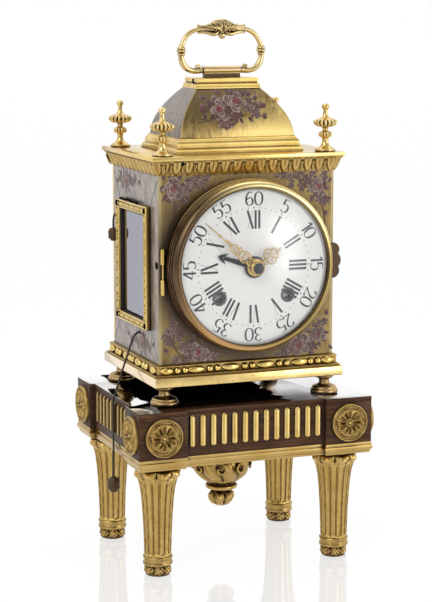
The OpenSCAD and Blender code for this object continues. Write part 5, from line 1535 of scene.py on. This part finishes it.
# hands
handGilt = gilt("handGilt", (0.7, 0.5, 0.19), (0.14, 0.07, 0.02), reach=1.2, rough=0.2)
handSizes = {  # each scroll is its thickness and its points
    "minute": 138.9, "hour": 34.0, "alarm": 162.0, "tilt": 5.7,
    "minuteY": -49.1, "hourY": -46.35, "alarmY": -44.95,
    "minuteRod": [16.6, 21.0, 23.6, 24.7, 25.8, 28.4, 31.4, 34.6],
    "minuteThick": ([16, 23.8, 24.7, 25.6, 31, 34.6], [0.2, 0.26, 0.72, 0.28, 0.26, 0.12]),
    "hourRod": [3.6, 6, 9, 12, 16.8], "alarmRod": [4.6, 7, 10, 13, 16.8],
    "minuteScrolls": [
        (0.28, (3.2, 0.5), (4.6, 1.9), (5.9, 1.5), (6.2, 0.6), (5.4, 0.5)),
        (0.3, (6.0, 0.9), (7.2, 2.3), (9.0, 2.7), (10.9, 1.7), (11.5, 0.4)),
        (0.24, (7.4, 0.3), (8.0, 1.4), (9.4, 1.5), (9.8, 0.7), (9.0, 0.5)),
        (0.22, (11.2, 0.4), (12.2, 1.7), (13.0, 2.3), (13.5, 1.6), (12.9, 1.1)),
        (0.27, (12.6, 0.4), (14.4, 1.6), (16.2, 1.5), (17.6, 0.4)),
        (0.2, (14.0, 0.2), (14.8, 0.8), (15.8, 0.7), (16.0, 0.2)),
        (0.22, (17.4, 0.3), (18.8, 0.8), (20.4, 0.5), (21.6, 0.15))],
    "hourScrolls": [
        (0.27, (4.0, 0.6), (5.4, 2.0), (6.6, 1.7), (6.6, 0.8), (5.8, 0.6)),
        (0.29, (6.4, 0.5), (6.8, 2.4), (8.2, 3.9), (10.2, 3.7), (10.8, 2.2), (9.8, 1.2),
         (8.6, 1.8), (8.8, 2.7)),
        (0.25, (9.6, 0.6), (11.0, 1.9), (12.6, 2.1), (13.2, 1.2), (12.4, 0.7)),
        (0.2, (10.9, 2.4), (12.0, 3.1), (12.6, 2.6)),
        (0.2, (13.0, 0.3), (14.0, 0.9), (15.0, 0.6), (15.8, 0.2))],
    "arrow": [(19.8, 0), (18.6, 0.5), (17.0, 1.3), (15.4, 2.7)],
    "collar": [(2.6, -0.6), (3.5, -0.55), (3.7, -0.2), (3.6, 0.2), (3.2, 0.5), (3.1, 0.9),
               (2.9, 1.2), (2.7, 1.2), (2.6, 0.9)],
    "dome": [(2.75, 0.7), (2.65, 1.3), (2.2, 1.9), (1.3, 2.3), (0.05, 2.45)],
    "hourRing": [(3.0, 0.3), (4.0, 0.28), (4.35, 0), (4.2, -0.35), (3.9, -0.45), (3.0, -0.45)],
    "alarmRing": [(3.0, 0.22), (5.1, 0.22), (5.35, 0), (5.1, -0.22), (3.0, -0.22),
                  (3.0, 0.22)]}


def handSpot(degrees, y, tilt=0.0):
    a = math.radians(degrees)
    c, s, lean = math.cos(a), math.sin(a), math.tan(math.radians(tilt))

    def put(p):  # along, across, towards the viewer
        along, across, out = p[:, 0], p[:, 1], p[:, 2]
        return np.stack([along * c - across * s, y + along * lean - out,
                         dialSizes["z"] + along * s + across * c], 1)
    return put


def dot(heap, put, along, across, size):
    line = [(0.01, -size * 0.6), (size * 0.8, -size * 0.35), (size, 0), (size * 0.8, size * 0.35),
            (0.01, size * 0.6)]
    lathe(heap, line, 12, lambda p: put(p + [along, across, 0]))


def scrolls(heap, put, lines):  # curled wires, mirrored about the hand
    for side in (-1, 1):
        for thick, *line in lines:
            tube(heap, smoothLine([(u, side * v, 0) for u, v in line], 4), thick * 1.25, 6,
                 put=put)


def wire(heap, put, stops, steps, thick, sides, **rest):  # a straight wire along the hand
    tube(heap, smoothLine([(u, 0, 0) for u in stops], steps), thick, sides, put=put, **rest)


def handPieces():
    s = handSizes
    minute = Heap()
    put = handSpot(s["minute"], s["minuteY"], s["tilt"])
    scrolls(minute, put, s["minuteScrolls"])
    dot(minute, put, 12.0, 0, 0.5)
    along = smoothLine([(u, 0, 0) for u in s["minuteRod"]], 4)[:, 0]
    wire(minute, put, s["minuteRod"], 4, np.interp(along, *s["minuteThick"]), 8)
    lathe(minute, smoothLine(s["collar"], 3), 48, handSpot(0, s["minuteY"]))
    build("minuteHand", minute, handGilt, smooth=60, body="minute_group", nodes=["minute_hand"])
    dome = Heap()
    lathe(dome, smoothLine(s["dome"], 4), 36, handSpot(0, s["minuteY"]))
    build("centreDome", dome, bluedSteel, body="minute_group", slot="blued_steel")
    hour = Heap()
    put = handSpot(s["hour"], s["hourY"])
    wire(hour, put, s["hourRod"], 3, np.linspace(0.5, 0.16, 13), 8)
    scrolls(hour, put, s["hourScrolls"])
    lathe(hour, s["hourRing"], 48, handSpot(0, s["hourY"]))
    build("hourHand", hour, handGilt, smooth=60, body="hour_group", nodes=["hour_hand"])
    alarm = Heap()
    put = handSpot(s["alarm"], s["alarmY"])
    wire(alarm, put, s["alarmRod"], 4, np.linspace(1.5, 0.85, 17), 12, squash=0.2)
    for side in (-1, 1):
        tube(alarm, smoothLine([(u, side * v, 0) for u, v in s["arrow"]], 4),
             np.interp(np.arange(13), [0, 6, 12], [0.2, 0.85, 0.12]), 10, put=put, squash=0.25)
    lathe(alarm, s["alarmRing"], 48, handSpot(0, s["alarmY"]))
    build("alarmHand", alarm, bluedSteel, smooth=60, body="alarm_group", slot="blued_steel",
          nodes=["alarm_hand"])


handPieces()
print("hands made")


# painted rose sprays
crimson, pink, mauve = (0.16, 0.013, 0.013), (0.24, 0.06, 0.05), (0.1, 0.03, 0.028)
pale = (0.58, 0.43, 0.36)
plum, leafTone, dusk = (0.055, 0.016, 0.016), (0.1, 0.05, 0.026), (0.26, 0.16, 0.125)


def petal(heap, put, base, angle, length, wide, low, lift, inner, outer, pointed=False):
    i = np.array([0, 0.3, 0.55, 0.74, 0.86, 0.93, 0.97, 1.0])
    s, j = np.meshgrid(i, np.linspace(-1, 1, 7), indexing="ij")
    half = wide * (np.sin(np.clip(s, 0.02, 1) ** 0.7 * math.pi * (0.98 if pointed else 0.8))
                   ** (1.1 if pointed else 0.55))
    bend = 0.25 * length * (j ** 2) * (0 if pointed else 1)
    x = s * length - bend * s
    y = j * half
    c, sn = math.cos(angle), math.sin(angle)
    out = low + lift * s * (1 - 0.35 * j ** 2) - 0.08 * (np.abs(j) > 0.99)
    out = np.where((s > 0.99) & (not pointed), out - 0.1, out)
    u = base[0] + x * c - y * sn
    v = base[1] + x * sn + y * c
    vein = 0.5 + 0.5 * np.cos(3 * math.pi * j)  # fine brush lines from the base to the edge
    mix = np.clip(0.85 * np.clip((s - 0.78) / 0.16, 0, 1) + vein * 0.5 * s, 0, 1)
    mix = np.maximum(mix, 0.7 * (np.abs(j) > 0.99) * (s > 0.4))[:, :, None]
    tone = np.array(inner) * (1 - mix) + np.array(outer) * mix
    points = np.stack([u, v, out], 2).reshape(-1, 3)
    heap.add(put(points), netFaces(8, 7), tone.reshape(-1, 3))


def rose(heap, put, u, v, size, luck):
    for k in range(7):  # dark leaves all round it
        a = (k + luck.random()) * 2 * math.pi / 7
        petal(heap, put, (u + 0.6 * size * math.cos(a), v + 0.6 * size * math.sin(a)), a,
              size * (0.55 + 0.3 * luck.random()), size * 0.22, 0.02, 0.1, plum,
              dusk if luck.random() > 0.4 else leafTone, pointed=True)
    spin = luck.random() * 6
    for count, reach, length, wide, low, inner, outer in (
            (7, 0.42, 0.6, 0.3, 0.04, plum, pale), (6, 0.26, 0.54, 0.3, 0.12, mauve, pale),
            (5, 0.14, 0.4, 0.27, 0.2, plum, pale), (4, 0.06, 0.34, 0.2, 0.28, crimson, pale),
            (3, 0.0, 0.22, 0.15, 0.36, crimson, pink)):
        spin += 0.5
        for k in range(count):
            a = spin + k * 2 * math.pi / count + (luck.random() - 0.5) * 0.8
            grow = size * (0.75 + 0.5 * luck.random())
            shade = 0.25 + 0.9 * luck.random() ** 0.8
            away = reach * size * (0.7 + 0.5 * luck.random())
            petal(heap, put, (u + away * math.cos(a), v + away * math.sin(a)),
                  a + (luck.random() - 0.5) * 1.3, length * grow, wide * grow, low, 0.14, inner,
                  tuple(c * shade for c in outer))


def blossom(heap, put, u, v, size, luck, outer):
    spin = luck.random() * 6
    for count, reach, length, low, inner in ((6, 0.3, 0.75, 0.03, plum),
                                             (4, 0.05, 0.5, 0.14, mauve)):
        spin += 0.6
        for k in range(count):
            a = spin + (k + 0.4 * luck.random()) * 2 * math.pi / count
            shade = 0.3 + 0.8 * luck.random()
            petal(heap, put, (u + reach * size * math.cos(a), v + reach * size * math.sin(a)),
                  a + (luck.random() - 0.5) * 0.9, length * size * (0.6 + 0.7 * luck.random()),
                  size * 0.27, low, 0.14, inner, tuple(c * shade for c in outer))


frontSprays = {
    "roses": [(-38.4, 190.6, 6.0), (27.6, 109.8, 6.6), (38.0, 114.8, 5.2), (37.6, 188.6, 5.0),
              (-25.8, 109.6, 5.2)],
    "clusters": [[(-30.6, 194.0), (-27.6, 192.0), (-26.2, 195.8), (-23.4, 194.0),
                  (-31.6, 189.8), (-21.0, 196.2)],
                 [(-31.4, 110.6), (-33.6, 112.6), (-30.0, 114.4), (-21.0, 107.8),
                  (-18.4, 106.4), (-32.0, 107.0), (-41.5, 120.8), (-38.9, 118.6), (-36.6, 120.2),
                  (-40.4, 115.6), (-42.6, 117.8), (-39.0, 123.0), (-37.0, 106.4)],
                 [(20.2, 106.4), (33.8, 106.6), (35.6, 108.4), (41.2, 120.6), (23.2, 107.8)],
                 [(19.4, 195.4), (22.8, 193.6), (26.6, 195.6), (30.8, 193.2), (29.4, 189.6),
                  (34.6, 195.0), (33.0, 190.8), (41.0, 194.2), (41.4, 182.4), (38.6, 182.2)]],
    "buds": [(-40.9, 183.6, 3.0, 1.7), (-43.4, 189.0, 2.2, 2.6), (-34.6, 118.4, 3.2, 0.4),
             (-40.0, 125.4, 3.0, 1.3), (-42.8, 112.6, 2.8, -1.2), (42.6, 124.0, 2.8, 1.4),
             (41.8, 176.6, 2.6, -1.5), (16.8, 194.6, 2.8, 3.0), (-18.0, 197.0, 3.0, 0.2)],
    "leaves": [(-34.8, 184.6, 4.2, -0.3), (-32.2, 186.4, 3.4, -0.7), (-36.4, 183.0, 3.2, -1.2),
               (-43.0, 194.6, 3.0, 1.9), (-28.6, 115.2, 3.6, 1.3), (-34.8, 115.4, 3.2, 2.2),
               (-16.6, 107.2, 3.6, 0.2), (17.6, 105.8, 3.4, 2.9), (44.0, 108.4, 3.0, -0.6),
               (30.4, 117.0, 3.2, 1.4), (24.8, 190.4, 4.2, 3.5), (35.4, 184.0, 3.6, -2.2),
               (43.4, 190.8, 2.6, 0.9), (-24.2, 190.6, 3.4, -0.4)],
    "stems": [[(-38.4, 186.0), (-37.6, 180.4), (-38.6, 175.8)], [(-33.0, 187.0), (-36.0, 183.0)],
              [(-41.0, 121.0), (-39.0, 114.0), (-36.0, 109.6), (-34.0, 106.0)],
              [(38.8, 183.0), (40.8, 176.0), (41.6, 168.4)], [(24.0, 194.0), (32.0, 191.0)]]}
domeSprays = {
    "roses": [(-8.0, 226.6, 6.0), (1.9, 230.2, 6.2)],
    "clusters": [[(9.8, 225.0), (11.8, 223.8), (7.6, 227.0), (12.4, 227.6), (9.2, 229.6)],
                 [(-1.2, 222.8), (1.4, 223.4), (-6.0, 218.8), (-4.0, 219.4), (-7.4, 219.8)]],
    "buds": [(-16.4, 225.2, 4.4, 1.57), (8.2, 233.2, 3.4, 0.4), (-6.6, 233.6, 3.6, 1.4),
             (15.4, 221.6, 3.0, 1.6), (14.6, 227.4, 3.0, 0.5)],
    "leaves": [(-13.6, 231.4, 3.6, 2.7), (-11.4, 231.0, 3.0, 3.3), (-9.4, 219.6, 4.2, 0.1),
               (11.6, 230.6, 3.4, 0.9), (6.6, 222.8, 3.4, -0.8), (-16.6, 222.0, 3.2, 1.1)],
    "stems": [[(-20.4, 220.4), (-16.6, 221.2), (-12.0, 222.0), (-9.0, 223.0)],
              [(-19.2, 222.4), (-14.6, 221.8)]]}
sideSprays = {
    "roses": [(-14.0, 190.0, 5.0), (10.0, 111.4, 5.4)],
    "clusters": [[(-8.0, 191.6), (-4.4, 190.0), (0.0, 191.8), (-20.0, 188.8), (-22.6, 191.8)],
                 [(3.6, 110.4), (-1.2, 112.0), (16.4, 112.6), (20.8, 110.4), (-5.6, 110.0)]],
    "buds": [(4.6, 190.4, 3.0, 0.3), (-26.0, 188.4, 2.6, 2.6), (-10.0, 112.4, 3.0, 2.8),
             (25.0, 112.2, 2.8, 0.6)],
    "leaves": [(-10.4, 187.0, 3.4, -0.8), (-17.4, 194.2, 3.0, 2.0), (6.4, 115.2, 3.2, 1.4),
               (13.2, 107.8, 3.2, -0.5)],
    "stems": []}


def spray(heap, put, plan, luck):
    for u, v, size in plan["roses"]:
        rose(heap, put, u, v, size, luck)
    for spots in plan["clusters"]:
        for u, v in spots:
            outer = (pale, dusk, pale)[int(luck.random() * 3)]
            blossom(heap, put, u, v, 2.9 * (0.75 + 0.5 * luck.random()), luck, outer)
    for u, v, size, angle in plan["buds"]:
        petal(heap, put, (u, v), angle, size, size * 0.42, 0.06, 0.2, plum, dusk)
        petal(heap, put, (u, v), angle + 0.25, size * 0.8, size * 0.2, 0.16, 0.15, mauve, pink)
    for u, v, size, angle in plan["leaves"]:
        petal(heap, put, (u, v), angle, size, size * 0.34, 0.03, 0.12, plum, dusk, pointed=True)
    for points in plan["stems"]:
        tube(heap, smoothLine([(u, v, 0.08) for u, v in points], 5), 0.22, 5, put=put)
        heap.tones[-1] = np.broadcast_to(np.array(leafTone), heap.tones[-1].shape)


domeCurve = {"foot": 213.3, "high": 23.2, "half": 22.25, "lean": 12.9, "power": 1.85}


def onDome(sign):  # the same curve as the dome's front and back
    foot, high, half, lean, power = domeCurve.values()

    def put(p):
        t = np.clip((p[:, 1] - foot) / high, 0, 1)
        slope = lean * power * t ** (power - 1) / high
        norm = np.sqrt(1 + slope ** 2)
        y = half - lean * t ** power + p[:, 2] / norm
        return np.stack([p[:, 0] * sign, -sign * y, p[:, 1] + p[:, 2] * slope / norm], 1)
    return put


def paintedSprays():
    luck = random.Random(7)
    heap = Heap()
    spray(heap, onFace(0, 35.22), frontSprays, luck)
    spray(heap, onDome(1), domeSprays, luck)
    spray(heap, onDome(-1), domeSprays, luck)
    for side in (1, 3):
        spray(heap, onFace(side, 46.02), sideSprays, luck)
    piece = toObject("paintedRoses", heap, petalPaint, weld=False, turnOut=False, smooth=80,
                     toned=True)
    settle(piece)


paintedSprays()
print("roses painted")


# finishes for the CAD nodes that stay
cadFinishes = {
    "front_plate": frontEnamel, "side_plaques_left": sideEnamel,
    "side_plaques_right": sideEnamel, "dome_shell": domeEnamel, "bezel_glass": clearGlass,
    "bezel_thumbpiece": oldBronze, "handle_tube": tubeGilt, "dial": dialWhite,
    "going_arbor": greySteel, "strike_arbor": greySteel, "hammer": greySteel,
    "bell": bellMetal, "cord_pulley": pulleyWood}
workNodes = ["case_posts", "dial_ring", "hour_wheel", "cannon_pinion", "minute_wheel",
             "movement_plates", "movement_pillars", "going_barrel", "strike_barrel",
             "centre_wheel", "third_wheel", "fourth_wheel", "escape_wheel", "balance",
             "balance_cock", "pin_wheel", "fly"]
for name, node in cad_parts.items():
    finish = cadFinishes.get(name, workBrass if name in workNodes else brightGilt)
    node.data.materials.clear()
    node.data.materials.append(finish)
print("nodes finished")
